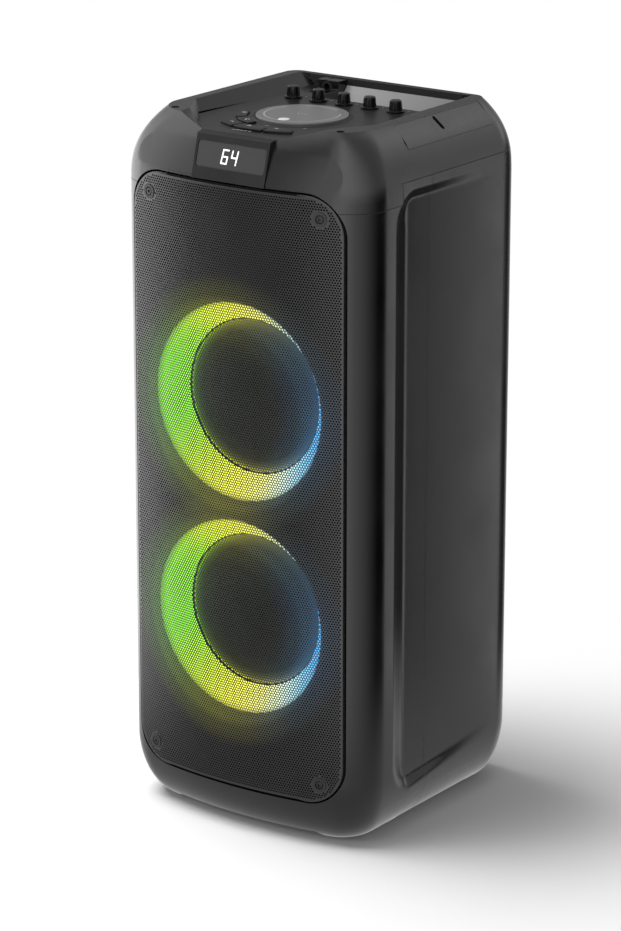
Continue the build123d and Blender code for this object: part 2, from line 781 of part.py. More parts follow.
def clear_of_screws(x, z):
    """Whether an opening centred there leaves the sheet whole round each screw."""
    reach = (washer_diameter + grid_step_x) / 2
    return all(abs(x - sx) > reach or abs(z - sz) > reach for sx, sz in screw_places)


grid_openings = []
opening_x, opening_z = grid_step_x - grille_bar, grid_step_z - grille_bar
for column in range(grille_columns):
    for row in range(grille_rows):
        x = -rim_half_x + opening_x / 2 + column * grid_step_x
        z = rim_bottom_z + opening_z / 2 + row * grid_step_z
        corners = [(x + sx * opening_x / 2, z + sz * opening_z / 2) for sx in (-1, 1) for sz in (-1, 1)]
        if all(in_rim(*corner) for corner in corners) and clear_of_screws(x, z):
            grid_openings.append(Pos(x, z) * Rectangle(opening_x, opening_z))
grid_cutter = Rot(90, 0, 0) * extrude(Sketch() + grid_openings, cabinet_depth)
grille -= grid_cutter

# ---------------------------------------------------------------- baffle
ledge_y = baffle_back_y - baffle_ledge
counterbore_radius = ring_mouth_radius + 0.6
woofer_heights = {"lower": lower_woofer_z, "upper": upper_woofer_z}
baffle = opening(-fit_gap, (baffle_front_y, baffle_back_y))
for z in woofer_heights.values():
    baffle -= along_y(counterbore_radius, 0, z, baffle_front_y - 1, ledge_y)
    baffle -= along_y(woofer_hole_radius, 0, z, baffle_front_y, baffle_back_y + 1)
baffle -= screw_cores
for x in (-cap_screw_x, cap_screw_x):
    baffle -= upright(screw_core_radius, x, cap_screw_y, cap_screw_tip_z, cabinet_height)

# ---------------------------------------------------------------- ring lights
flange_front_y = ledge_y - woofer_flange
funnel_run = sqrt((ring_mouth_radius - ring_throat_radius) ** 2 + (ring_throat_y - ring_mouth_y) ** 2)
funnel_slope = (ring_throat_y - ring_mouth_y) / (ring_mouth_radius - ring_throat_radius)
wall_across = ring_wall * funnel_run / (ring_throat_y - ring_mouth_y)  # radial width of the leaning wall
throat_end_y = ring_throat_y + 0.6


def funnel_back_radius(y):
    """Radius of the funnel's rear side at depth y."""
    return ring_mouth_radius - (y - ring_mouth_y) / funnel_slope + wall_across


rim_radius = ring_mouth_radius + ring_rim
lip_radius = counterbore_radius + ring_lip
ring_lip_y = baffle_front_y - ring_lip_thickness
ring_light = turned_about_y(
    [(ring_mouth_radius, ring_mouth_y), (rim_radius, ring_mouth_y), (rim_radius, ring_lip_y),
     (lip_radius, ring_lip_y), (lip_radius, baffle_front_y),
     (funnel_back_radius(baffle_front_y), baffle_front_y), (funnel_back_radius(throat_end_y), throat_end_y),
     (ring_throat_radius, throat_end_y), (ring_throat_radius, ring_throat_y)], 0, 0)
led_board_y = flange_front_y - board_thickness
led_board = turned_about_y([(led_board_inner, led_board_y), (led_board_outer, led_board_y),
                            (led_board_outer, flange_front_y), (led_board_inner, flange_front_y)], 0, 0)
led_circle_radius = (led_board_inner + led_board_outer) / 2
led = Pos(led_circle_radius, led_board_y - led_height / 2, 0) * Box(led_size, led_height, led_size)
led_board += [Rot(0, turn * 360 / led_count, 0) * led for turn in range(led_count)]

# ---------------------------------------------------------------- woofers
basket_back_y = ledge_y + basket_depth
neck_outer = woofer_hole_radius - 0.8
basket = turned_about_y(
    [(flange_inner, flange_front_y), (woofer_flange_radius, flange_front_y), (woofer_flange_radius, ledge_y),
     (neck_outer, ledge_y), (neck_outer, baffle_back_y), (magnet_radius + 2, basket_back_y),
     (coil_bore, basket_back_y), (coil_bore, basket_back_y - 2), (magnet_radius, basket_back_y - 2),
     (neck_outer - basket_wall, baffle_back_y - 1), (neck_outer - basket_wall, ledge_y + 0.5),
     (flange_inner, ledge_y + 0.5)], 0, 0)
basket_window = Pos(0, (baffle_back_y + basket_back_y) / 2, 0) * Box(
    2 * woofer_hole_radius, basket_window_depth, basket_window_width)
basket_core = along_y(magnet_radius + 4, 0, 0, ledge_y, basket_back_y + 1)
for turn in range(3):
    basket -= Rot(0, turn * 60, 0) * (basket_window - basket_core)

magnet_back_y = basket_back_y + magnet_height
coil_room_y = basket_back_y + magnet_height - 6
magnet = turned_about_y(
    [(0, basket_back_y), (pole_radius, basket_back_y), (pole_radius, coil_room_y), (coil_bore, coil_room_y),
     (coil_bore, basket_back_y), (magnet_radius, basket_back_y), (magnet_radius, magnet_back_y),
     (0, magnet_back_y)], 0, 0)

roll_middle = surround_outer_radius - surround_roll_radius
roll_ring = Circle(surround_roll_radius) - Circle(surround_roll_radius - surround_wall)
surround_section = Pos(roll_middle, 0) * roll_ring
surround_section -= Pos(roll_middle, surround_roll_radius) * Rectangle(4 * surround_roll_radius,
                                                                       2 * surround_roll_radius)
lip_middle = surround_outer_radius + (surround_lip - surround_wall) / 2
lip_section = Rectangle(surround_lip + surround_wall, surround_wall)
surround_section += Pos(lip_middle, -surround_wall / 2) * lip_section
surround = Pos(0, flange_front_y, 0) * revolve(surround_section, Axis.Y)

shelf_y = flange_front_y + cone_depth
cone_edge_y = flange_front_y - cone_wall
cone_radius = surround_outer_radius - 2 * surround_roll_radius - cone_gap
shelf_radius = dust_cap_radius + 1.5
cone = turned_about_y(
    [(cone_radius, cone_edge_y), (shelf_radius, shelf_y), (voice_coil_radius, shelf_y),
     (voice_coil_radius, shelf_y + cone_wall), (shelf_radius + 0.3, shelf_y + cone_wall),
     (cone_radius, flange_front_y + cone_wall)], 0, 0)
voice_coil_end_y = coil_room_y - cone_travel - 2
voice_coil = turned_about_y(
    [(voice_coil_radius, shelf_y + cone_wall), (voice_coil_radius + voice_coil_wall, shelf_y + cone_wall),
     (voice_coil_radius + voice_coil_wall, voice_coil_end_y), (voice_coil_radius, voice_coil_end_y)], 0, 0)
dome_radius = (dust_cap_radius**2 + dust_cap_height**2) / (2 * dust_cap_height)
dome = Sphere(dome_radius) - Sphere(dome_radius - dust_cap_wall)
dust_cap = Pos(0, shelf_y + dome_radius - dust_cap_height, 0) * dome
dust_cap &= along_y(dust_cap_radius + 1, 0, 0, shelf_y - 2 * dust_cap_height, shelf_y)

# ---------------------------------------------------------------- control deck
dial_ring_outer = dial_radius + dial_ring_width
dial_ring_inner = dial_radius + 0.4
deck_hole_radius = dial_ring_outer - 1.6
board_top_z = deck_seat_z - board_gap
board_bottom_z = board_top_z - board_thickness
knob_places = [(i - (knob_count - 1) / 2) * knob_pitch for i in range(knob_count)]


def sector(radii, angles, grow, z_range):
    """Upright prism over an arc-shaped key about the dial's centre, grown by grow on every side."""
    inner, outer = radii[0] - grow, radii[1] + grow
    start = angles[0] - degrees(grow / radii[1])
    end = angles[1] + degrees(grow / radii[1])
    middle = (start + end) / 2

    def at(radius, angle):
        return (radius * cos(radians(angle)), radius * sin(radians(angle)))

    edges = [ThreePointArc(at(outer, start), at(outer, middle), at(outer, end)),
             Line(at(outer, end), at(inner, end)),
             ThreePointArc(at(inner, end), at(inner, middle), at(inner, start)),
             Line(at(inner, start), at(outer, start))]
    face = make_face(Curve() + edges)
    face = fillet(face.vertices(), key_corner + grow)
    return Pos(0, dial_y, z_range[0]) * extrude(face, z_range[1] - z_range[0])


key_shapes = [(inner_key_radii, angles) for angles in inner_key_angles]
key_shapes += [(outer_key_radii, angles) for angles in outer_key_angles]
key_flange_top = deck_seat_z - key_flange_gap
key_flange_bottom = key_flange_top - key_flange_thickness
switch_top_z = board_top_z + switch_height
keys, key_middles = [], []
for radii, angles in key_shapes:
    middle_radius, middle_angle = sum(radii) / 2, radians(sum(angles) / 2)
    x, y = middle_radius * cos(middle_angle), dial_y + middle_radius * sin(middle_angle)
    key_middles.append((x, y))
    key = sector(radii, angles, 0, (key_flange_bottom, deck_z + key_proud))
    key = fillet(key.edges().group_by(Axis.Z)[-1], key_edge)
    key += sector(radii, angles, key_flange_width, (key_flange_bottom, key_flange_top))
    key += upright(key_stem_radius, x, y, switch_top_z + key_travel + key_stem_gap, key_flange_bottom)
    keys.append(key)

deck_plate = offset(deck_outline, amount=-seam_gap, kind=Kind.INTERSECTION)
control_deck = extrude(deck_plate, deck_thickness, dir=(0, 0, 1))
control_deck -= upright(deck_hole_radius, 0, dial_y, deck_seat_z - 1, deck_z + 1)
for x in knob_places:
    control_deck -= upright(knob_bore_radius + knob_shaft_room, x, knob_y, deck_seat_z - 1, deck_z + 1)
for radii, angles in key_shapes:
    control_deck -= sector(radii, angles, key_gap, (deck_seat_z - 1, deck_z + 1))
deck_posts = [(x, y) for x in (-deck_post_x, deck_post_x) for y in (deck_post_front_y, deck_post_rear_y)]
for x, y in deck_posts:
    control_deck += upright(deck_post_radius, x, y, board_top_z, deck_seat_z)

dial_ring = turned_about_z([(dial_ring_inner, deck_z - 2), (deck_hole_radius - 0.15, deck_z - 2),
                            (deck_hole_radius - 0.15, deck_z), (dial_ring_outer, deck_z),
                            (dial_ring_outer - 0.5, deck_z + dial_ring_proud),
                            (dial_ring_inner, deck_z + dial_ring_proud)], 0, dial_y)
dial_top_z = deck_z + dial_proud
dial_bottom_z = dial_top_z - dial_thickness
encoder_top_z = board_top_z + encoder_height
jog_dial = turned_about_z(
    [(0, dial_bottom_z), (dial_radius - dial_edge, dial_bottom_z), (dial_radius, dial_bottom_z + dial_edge),
     (dial_radius, dial_top_z - dial_edge), (dial_radius - dial_edge, dial_top_z), (0, dial_top_z)],
    0, dial_y)
jog_dial += upright(dial_spindle_radius, 0, dial_y, board_top_z + 1, dial_bottom_z)
jog_dial -= upright(dial_dimple_radius, dial_dimple_x, dial_y + dial_dimple_y, dial_top_z - dial_dimple_depth,
                    dial_top_z + dial_dimple_depth)

knob_bottom_z = deck_z + knob_lift
knob_top_z = knob_bottom_z + knob_height
pot_top_z = board_top_z + pot_height
knob_body_z = knob_bottom_z + knob_flange
knob = turned_about_z(
    [(0, knob_bottom_z), (knob_flange_radius, knob_bottom_z), (knob_flange_radius, knob_body_z),
     (knob_radius, knob_body_z), (knob_top_radius, knob_top_z - knob_edge),
     (knob_top_radius - knob_edge, knob_top_z), (0, knob_top_z)], 0, 0)
flute = upright(knob_flute, knob_radius + knob_flute_out, 0, knob_body_z, knob_top_z + beyond)
knob -= [Rot(0, 0, (turn + 0.5) * 360 / knob_ribs) * flute for turn in range(knob_ribs)]
knob += upright(knob_bore_radius, 0, 0, board_top_z + 1, knob_bottom_z)
knobs = [Pos(x, knob_y, 0) * knob for x in knob_places]

board_half_width = deck_half_width - board_margin
board_points = [(deck_front_half_width + board_room, deck_front_y + board_front_room),
                (deck_knee_x - 2 * board_room, deck_knee_y + 1.5 * board_room),
                (board_half_width, deck_shoulder_y - board_room / 2), (board_half_width, knob_y + board_room)]
control_board = prism_z(both_sides(board_points), (board_bottom_z, board_top_z))
for x in knob_places:
    pot = block((x - pot_half, x + pot_half), (knob_y - pot_half, knob_y + 2), (board_top_z, pot_top_z))
    control_board += pot
    control_board -= upright(knob_bore_radius + knob_turn_gap, x, knob_y, board_top_z + 0.5, pot_top_z + 1)
control_board += block((-encoder_half, encoder_half), (dial_y - encoder_half, dial_y + encoder_half),
                       (board_top_z, encoder_top_z))
control_board -= upright(dial_spindle_radius + knob_turn_gap, 0, dial_y, board_top_z + 0.5, encoder_top_z + 1)
for x, y in key_middles:
    control_board += block((x - switch_half, x + switch_half), (y - switch_half, y + switch_half),
                           (board_top_z, switch_top_z))

# ---------------------------------------------------------------- display block
face_run = (display_top_y - display_bottom_y, display_top_z - opening_top_z)
face_length = sqrt(face_run[0] ** 2 + face_run[1] ** 2)
face_lean = degrees(atan2(face_run[0], face_run[1]))


def on_display(v, depth):
    """Place on the display face: +X right, +Y up the face, +Z out of it, v from its lower edge."""
    return Pos(0, display_bottom_y, opening_top_z) * Rot(90 - face_lean, 0, 0) * Pos(0, v, -depth)


window_middle = face_length - window_top_margin - window_height / 2
window_width = 2 * (display_half_width - display_post)
window_plan = RectangleRounded(window_width, window_height, window_corner)
window_blank = on_display(window_middle, 0) * extrude(window_plan, beyond, both=True)
window_slab = on_display(window_middle, window_set_back + window_thickness / 2) * Box(
    window_width + 2, window_height + 2, window_thickness)
display_window = on_display(window_middle, window_set_back + window_thickness / 2) * extrude(
    RectangleRounded(window_width - 2 * seam_gap, window_height - 2 * seam_gap, window_corner - seam_gap),
    window_thickness / 2, both=True)
module_width, module_height = window_width - 8, window_height - 3
module_front = window_set_back + window_thickness
display_module = on_display(window_middle, module_front + module_depth / 2) * Box(
    module_width, module_height, module_depth)
display_bezel = display_form - (window_blank & on_display(window_middle, module_front / 2) * Box(
    window_width + 2, window_height + 2, module_front))
display_bezel -= on_display(window_middle, module_front + beyond) * Box(
    module_width + 2 * seam_gap, module_height + 2 * seam_gap, 2 * beyond)

# ---------------------------------------------------------------- grip strip and side socket
grip_strip = block((-grip_half_width + seam_gap, grip_half_width - seam_gap),
                   (grip_front_y + seam_gap, grip_front_y + grip_depth - seam_gap),
                   (cabinet_height - grip_height, cabinet_height - 0.3))
for i in range(grip_rib_count):
    z = cabinet_height - grip_height + (i + 1) * grip_height / (grip_rib_count + 1)
    grip_strip -= block(side_to_side, (grip_front_y, grip_front_y + grip_rib_depth),
                        (z - grip_rib / 2, z + grip_rib / 2))
side_socket = along_y(side_socket_radius - seam_gap, side_socket_x, socket_z, socket_front_y + rim_lip,
                      grip_front_y - wall)
side_socket -= along_y(jack_bore, side_socket_x, socket_z, socket_front_y,
                       grip_front_y - wall - side_socket_floor)

# ---------------------------------------------------------------- rear panel and what it carries
panel_face_y = half_depth - panel_recess
panel_back_y = panel_face_y - panel_thickness


def rear_plate(width, height, corner, y_range):
    """Rounded plate parallel to the rear face, centred on the rear panel."""
    face = Plane.XZ * RectangleRounded(width, height, corner)
    shape = extrude(face, y_range[1] - y_range[0], dir=(0, 1, 0))
    return Pos(0, y_range[0], panel_z) * shape


housing = rear_plate(panel_width + 2 * wall, panel_height + 2 * wall, panel_corner + wall,
                     (panel_back_y - wall, half_depth))
rear_shell += housing & outer_form
rear_shell -= rear_plate(panel_width + 2 * seam_gap, panel_height + 2 * seam_gap, panel_corner + seam_gap,
                         (panel_back_y, half_depth + beyond))
rear_shell -= rear_plate(panel_width - 2 * panel_lip, panel_height - 2 * panel_lip, panel_corner,
                         (panel_back_y - 2 * wall, half_depth))
rear_panel = rear_plate(panel_width, panel_height, panel_corner, (panel_back_y, panel_face_y))

jack_places = [(jack_x + i * jack_pitch, panel_z + jack_row) for i in range(jack_count)]
jacks = []
for x, z in jack_places:
    rear_panel -= along_y(jack_barrel + seam_gap, x, z, panel_back_y - 1, panel_face_y + 1)
    jack = along_y(jack_barrel, x, z, panel_back_y, panel_face_y)
    jack += along_y(jack_nut_radius, x, z, panel_face_y, panel_face_y + jack_nut)
    jack += block((x - jack_half, x + jack_half), (panel_back_y - jack_length, panel_back_y),
                  (z - jack_half, z + jack_half))
    jack -= along_y(jack_bore, x, z, panel_face_y + jack_nut - jack_length, half_depth)
    jacks.append(jack)

usb_z = panel_z + jack_row
usb_room = block((usb_x - usb_width / 2, usb_x + usb_width / 2), (panel_back_y - 1, panel_face_y + 1),
                 (usb_z - usb_height / 2, usb_z + usb_height / 2))
rear_panel -= usb_room
usb_port = block((usb_x - usb_width / 2 + seam_gap, usb_x + usb_width / 2 - seam_gap),
                 (panel_face_y - usb_cavity[2] - 2, panel_face_y - 0.3),
                 (usb_z - usb_height / 2 + seam_gap, usb_z + usb_height / 2 - seam_gap))
usb_port += block((usb_x - usb_width / 2 - 2, usb_x + usb_width / 2 + 2), (panel_back_y - 6, panel_back_y),
                  (usb_z - usb_height / 2 - 2, usb_z + usb_height / 2 + 2))
usb_port -= block((usb_x - usb_cavity[0] / 2, usb_x + usb_cavity[0] / 2),
                  (panel_face_y - usb_cavity[2], half_depth),
                  (usb_z - usb_cavity[1] / 2, usb_z + usb_cavity[1] / 2))

inlet_z = panel_z - power_row
rear_panel -= block((inlet_x - inlet_width / 2, inlet_x + inlet_width / 2),
                    (panel_back_y - 1, panel_face_y + 1),
                    (inlet_z - inlet_height / 2, inlet_z + inlet_height / 2))
mains_inlet = block((inlet_x - inlet_width / 2 + seam_gap, inlet_x + inlet_width / 2 - seam_gap),
                    (panel_face_y - inlet_cavity[2] - wall, panel_face_y),
                    (inlet_z - inlet_height / 2 + seam_gap, inlet_z + inlet_height / 2 - seam_gap))
mains_inlet += block((inlet_x - inlet_width / 2 - wall, inlet_x + inlet_width / 2 + wall),
                     (panel_face_y, panel_face_y + inlet_flange),
                     (inlet_z - inlet_height / 2 - wall, inlet_z + inlet_height / 2 + wall))
mains_inlet -= block((inlet_x - inlet_cavity[0] / 2, inlet_x + inlet_cavity[0] / 2),
                     (panel_face_y - inlet_cavity[2], half_depth),
                     (inlet_z - inlet_cavity[1] / 2, inlet_z + inlet_cavity[1] / 2))
for x in (inlet_x - inlet_pin_pitch / 2, inlet_x + inlet_pin_pitch / 2):
    mains_inlet += along_y(inlet_pin_radius, x, inlet_z, panel_face_y - inlet_cavity[2],
                           panel_face_y - inlet_pin_depth)

switch_z = inlet_z
switch_outer = (rocker_width / 2 + wall, rocker_height / 2 + wall)
rear_panel -= block((switch_x - switch_outer[0], switch_x + switch_outer[0]),
                    (panel_back_y - 1, panel_face_y + 1),
                    (switch_z - switch_outer[1], switch_z + switch_outer[1]))
switch_frame = block((switch_x - switch_outer[0] + seam_gap, switch_x + switch_outer[0] - seam_gap),
                     (panel_back_y - switch_depth, panel_face_y),
                     (switch_z - switch_outer[1] + seam_gap, switch_z + switch_outer[1] - seam_gap))
switch_frame += block((switch_x - switch_outer[0] - 1.5, switch_x + switch_outer[0] + 1.5),
                      (panel_face_y, panel_face_y + inlet_flange),
                      (switch_z - switch_outer[1] - 1.5, switch_z + switch_outer[1] + 1.5))
switch_frame -= block((switch_x - rocker_width / 2, switch_x + rocker_width / 2),
                      (panel_back_y - switch_depth + 2, half_depth),
                      (switch_z - rocker_height / 2, switch_z + rocker_height / 2))
rocker_pivot_y = panel_back_y - 1
rocker_pin = Pos(switch_x, rocker_pivot_y, switch_z) * Rot(0, 90, 0) * Cylinder(rocker_pin_radius,
                                                                               rocker_width + wall)
switch_frame -= Pos(switch_x, rocker_pivot_y, switch_z) * Rot(0, 90, 0) * Cylinder(
    rocker_pin_radius + knob_turn_gap, rocker_width + wall + 1)
rocker_half = rocker_height / 2 - rocker_room
rocker_face_y = panel_face_y + inlet_flange - 0.3
rocker_rise = tan(radians(rocker_angle)) * rocker_half
rocker_back_y = rocker_pivot_y - 1
power_rocker = prism_x([(rocker_face_y - rocker_rise, switch_z), (rocker_face_y, switch_z + rocker_half),
                        (rocker_back_y, switch_z + rocker_half), (rocker_back_y - 2, switch_z),
                        (rocker_back_y, switch_z - rocker_half), (rocker_face_y, switch_z - rocker_half)],
                       (switch_x - rocker_width / 2 + fit_gap, switch_x + rocker_width / 2 - fit_gap))
power_rocker += rocker_pin

panel_screws = []
for x in (panel_screw_inset - panel_width / 2, panel_width / 2 - panel_screw_inset):
    for z in (panel_z - panel_height / 2 + panel_screw_inset, panel_z + panel_height / 2 - panel_screw_inset):
        rear_panel -= along_y(panel_screw_radius + 0.1, x, z, panel_back_y - 1, panel_face_y + 1)
        rear_shell -= along_y(panel_screw_radius, x, z, panel_back_y - wall, panel_back_y + 1)
        screw = along_y(panel_screw_radius, x, z, panel_back_y - wall, panel_face_y)
        screw += along_y(2 * panel_screw_radius, x, z, panel_face_y, panel_face_y + 1.4)
        panel_screws.append(screw)

# ---------------------------------------------------------------- bass port
port_mouth = port_radius + port_flare
port_outer = port_radius + port_wall
port_flange_radius = port_mouth + port_wall
port_face_y = half_depth - 0.5
port_end_y = port_face_y - port_length
port_lip_radius = port_flange_radius + port_lip
port_seat_y = port_face_y - wall + 0.5
port_tube = turned_about_y(
    [(port_mouth, port_face_y), (port_radius, port_face_y - port_flare * 1.5), (port_radius, port_end_y),
     (port_outer, port_end_y), (port_outer, port_face_y - wall - port_flare),
     (port_flange_radius, port_face_y - wall), (port_lip_radius, port_seat_y),
     (port_lip_radius, port_face_y)], 0, port_z)
rear_shell -= along_y(port_flange_radius + fit_gap, 0, port_z, half_depth - 2 * wall, half_depth + 1)
rear_shell -= along_y(port_lip_radius + fit_gap / 2, 0, port_z, port_seat_y, half_depth + 1)

# ---------------------------------------------------------------- electronics and battery
board_y = panel_back_y - amplifier_standoff
amplifier_board = block((-amplifier_half_width, amplifier_half_width), (board_y - board_thickness, board_y),
                        (panel_z - amplifier_half_height, panel_z + amplifier_half_height))
for x in (-amplifier_half_width + 5, amplifier_half_width - 5):
    for z in (panel_z - amplifier_half_height + 5, panel_z + amplifier_half_height - 5):
        rear_panel += along_y(3.0, x, z, board_y, panel_back_y)
sink_y = board_y - board_thickness
heat_sink = block((-sink_half_width, sink_half_width), (sink_y - wall, sink_y),
                  (panel_z - sink_half_height, panel_z + sink_half_height))
fin_pitch = (2 * sink_half_width - sink_fin) / (sink_fins - 1)
for i in range(sink_fins):
    fin_x = -sink_half_width + i * fin_pitch
    heat_sink += block((fin_x, fin_x + sink_fin), (sink_y - sink_depth, sink_y - wall),
                       (panel_z - sink_half_height, panel_z + sink_half_height))

floor_z = arch_height + wall
battery_z = floor_z + wall
battery_pack = block((-battery_width / 2, battery_width / 2), (battery_y, battery_y + battery_depth),
                     (battery_z, battery_z + battery_height))
tray_x, tray_height = battery_width / 2 + fit_gap, 0.5 * battery_height
battery_tray = block((-tray_x - wall, tray_x + wall),
                     (battery_y - fit_gap - wall, battery_y + battery_depth + fit_gap + wall),
                     (floor_z, battery_z + tray_height))
battery_tray -= block((-tray_x, tray_x), (battery_y - fit_gap, battery_y + battery_depth + fit_gap),
                      (battery_z, battery_z + battery_height))

# ---------------------------------------------------------------- nodes
save("front_shell", front_shell)
save("rear_shell", rear_shell)
save("top_cap", top_cap)
save("shoulder_trims", shoulder_trim, mirrored(shoulder_trim))
save("foot_pads", *foot_pads)
save("shell_screws", *shell_screws)
save("cap_screws", *cap_screws)
save("grille", grille)
save("grille_frame", grille_frame)
save("grille_washers", *grille_washers)
save("grille_screws", *grille_screws)
save("baffle", baffle)
for name, z in woofer_heights.items():
    save(f"ring_light_{name}", Pos(0, 0, z) * ring_light)
    save(f"led_board_{name}", Pos(0, 0, z) * led_board)
    save(f"basket_{name}", Pos(0, 0, z) * basket)
    save(f"magnet_{name}", Pos(0, 0, z) * magnet)
    save(f"surround_{name}", Pos(0, 0, z) * surround)
    save(f"cone_{name}", Pos(0, 0, z) * cone)
    save(f"dust_cap_{name}", Pos(0, 0, z) * dust_cap)
    save(f"voice_coil_{name}", Pos(0, 0, z) * voice_coil)
save("control_deck", control_deck)
save("dial_ring", dial_ring)
save("jog_dial", jog_dial)
save("control_board", control_board)
for i, solid in enumerate(knobs, 1):
    save(f"knob_{i}", solid)
for i, solid in enumerate(keys, 1):
    save(f"key_{i}", solid)
save("display_bezel", display_bezel)
save("display_window", display_window)
save("display_module", display_module)
save("grip_strip", grip_strip)
save("side_socket", side_socket)
save("rear_panel", rear_panel)
save("panel_screws", *panel_screws)
save("jacks", *jacks)
save("usb_port", usb_port)
save("mains_inlet", mains_inlet)
save("switch_frame", switch_frame)
save("power_rocker", power_rocker)
save("port_tube", port_tube)
save("amplifier_board", amplifier_board)
save("heat_sink", heat_sink)
save("battery_pack", battery_pack)
save("battery_tray", battery_tray)
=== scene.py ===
# %% [markdown]
# # A free-standing party speaker
# A tall black cabinet carries two woofers. Each one sits behind a funnel that glows in colours
# which run round it, and one bowed, perforated steel grille covers both. The top is a control
# deck with a jog dial, keys and knobs, and a hand scoop at the back.
#
# The solids of every part come in first. Each visible surface is then either given a finish as
# it is, or is covered by a finer mesh that is worked out here with numpy.
# %% Load the solid model
import json
from math import radians

import bpy
import numpy as np
from mathutils import Euler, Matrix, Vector

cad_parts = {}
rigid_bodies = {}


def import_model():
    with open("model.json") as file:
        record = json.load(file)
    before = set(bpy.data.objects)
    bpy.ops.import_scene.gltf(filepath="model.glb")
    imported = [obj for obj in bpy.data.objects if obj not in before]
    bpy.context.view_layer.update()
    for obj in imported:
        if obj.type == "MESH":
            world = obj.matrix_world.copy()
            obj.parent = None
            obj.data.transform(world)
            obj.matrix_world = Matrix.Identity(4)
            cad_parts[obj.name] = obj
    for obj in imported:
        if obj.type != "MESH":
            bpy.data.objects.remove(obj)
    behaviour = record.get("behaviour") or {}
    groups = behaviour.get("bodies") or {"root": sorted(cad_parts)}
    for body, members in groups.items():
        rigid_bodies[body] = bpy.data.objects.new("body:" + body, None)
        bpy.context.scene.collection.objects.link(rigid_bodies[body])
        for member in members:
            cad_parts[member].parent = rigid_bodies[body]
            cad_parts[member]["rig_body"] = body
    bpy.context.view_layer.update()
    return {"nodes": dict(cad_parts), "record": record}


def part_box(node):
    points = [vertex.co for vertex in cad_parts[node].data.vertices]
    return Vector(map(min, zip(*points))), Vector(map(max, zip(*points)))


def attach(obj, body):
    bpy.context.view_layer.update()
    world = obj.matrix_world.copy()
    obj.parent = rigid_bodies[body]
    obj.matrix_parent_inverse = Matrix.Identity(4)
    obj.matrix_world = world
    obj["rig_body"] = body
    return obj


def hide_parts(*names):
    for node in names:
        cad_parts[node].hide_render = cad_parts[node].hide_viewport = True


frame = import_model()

# %% [markdown]
# ## Reading sizes from the solids
# Sizes are thought of in millimetres, because every part of a product like this one is drawn
# in them, and are turned into metres only where a mesh is written. The corner points of a
# node give the place of whatever is built on it.
# %% Sizes taken from the nodes
MM = 0.001


def span(node):
    """Lowest and highest corner of a node, in millimetres."""
    low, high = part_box(node)
    return np.array(low) / MM, np.array(high) / MM


half_width = span("rear_shell")[1][0]
print("half width of the cabinet:", half_width)

# %% [markdown]
# ## Putting surfaces into meshes
# Every new surface here is a grid: a function of two parameters gives a whole array of points
# at once, and neighbouring points are joined by four-sided faces. The arrays are copied into
# the mesh in one call each, which is far quicker than adding points one by one.
# %% Grid and mesh helpers
def grid_faces(rows, columns, close_rows=False, close_columns=False):
    """Four-sided faces between the points of a grid that is stored row by row."""
    row = np.arange(rows if close_rows else rows - 1)[:, None]
    column = np.arange(columns if close_columns else columns - 1)[None, :]
    next_row, next_column = (row + 1) % rows, (column + 1) % columns
    corners = (row * columns + column, row * columns + next_column,
               next_row * columns + next_column, next_row * columns + column)
    return np.stack(np.broadcast_arrays(*corners), -1).reshape(-1, 4)


def fill_mesh(mesh, points, faces):
    """Copies points in millimetres and faces of one size into a mesh."""
    points = np.asarray(points, np.float32).reshape(-1, 3) * MM
    faces = np.asarray(faces, np.int32)
    mesh.vertices.add(len(points))
    mesh.vertices.foreach_set("co", points.ravel())
    mesh.loops.add(faces.size)
    mesh.loops.foreach_set("vertex_index", faces.ravel())
    mesh.polygons.add(len(faces))
    mesh.polygons.foreach_set("loop_start", np.arange(0, faces.size, faces.shape[1], dtype=np.int32))
    mesh.update(calc_edges=True)
    mesh.validate()


def piece(name, points, faces, material, body="cabinet", crease=35.0):
    """A finished piece: it has its mesh, its material and the body that it rides on."""
    mesh = bpy.data.meshes.new(name)
    fill_mesh(mesh, points, faces)
    mesh.shade_smooth()
    mesh.set_sharp_from_angle(angle=radians(crease))
    made = bpy.data.objects.new(name, mesh)
    bpy.context.scene.collection.objects.link(made)
    mesh.materials.append(material)
    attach(made, body)
    return made


def turned(profile, turns=180, centre=(0.0, 0.0), axis="y"):
    """Surface of revolution: a profile of (radius, height) points carried round an axis."""
    profile = np.asarray(profile, float)
    angle = np.linspace(0, 2 * np.pi, turns, endpoint=False)[None, :]
    radius, height = profile[:, :1], profile[:, 1:]
    a, b = radius * np.cos(angle) + centre[0], radius * np.sin(angle) + centre[1]
    along = np.broadcast_to(height, a.shape)
    points = np.stack((a, along, b) if axis == "y" else (a, b, along), -1)
    faces = grid_faces(len(profile), turns, close_columns=True)
    return points.reshape(-1, 3), faces if axis == "y" else faces[:, ::-1]


# %% [markdown]
# ## Nodes for the finishes
# A finish is a small graph. One helper adds a node and wires it in one go: an input that is
# given as a socket is linked, and anything else is typed in as that input's value.
# %% Material helpers
def add(tree, kind, inputs=None, **settings):
    """Adds a node to a graph, sets it up and wires its inputs."""
    made = tree.nodes.new("ShaderNode" + kind)
    for key, value in settings.items():
        setattr(made, key, value)
    for key, value in (inputs or {}).items():
        if isinstance(value, bpy.types.NodeSocket):
            tree.links.new(value, made.inputs[key])
        else:
            made.inputs[key].default_value = value
    return made


def new_finish(name, **values):
    """A material with one Principled shader, whose plain values are set on its own sockets."""
    material = bpy.data.materials.new(name)
    material.use_nodes = True
    tree = material.node_tree
    shader = tree.nodes["Principled BSDF"]
    for key, value in values.items():
        shader.inputs[key.replace("_", " ").title().replace("Ior", "IOR")].default_value = value
    return material, tree, shader


def grey(level):
    """A neutral colour."""
    return (level, level, level * 1.03, 1.0)


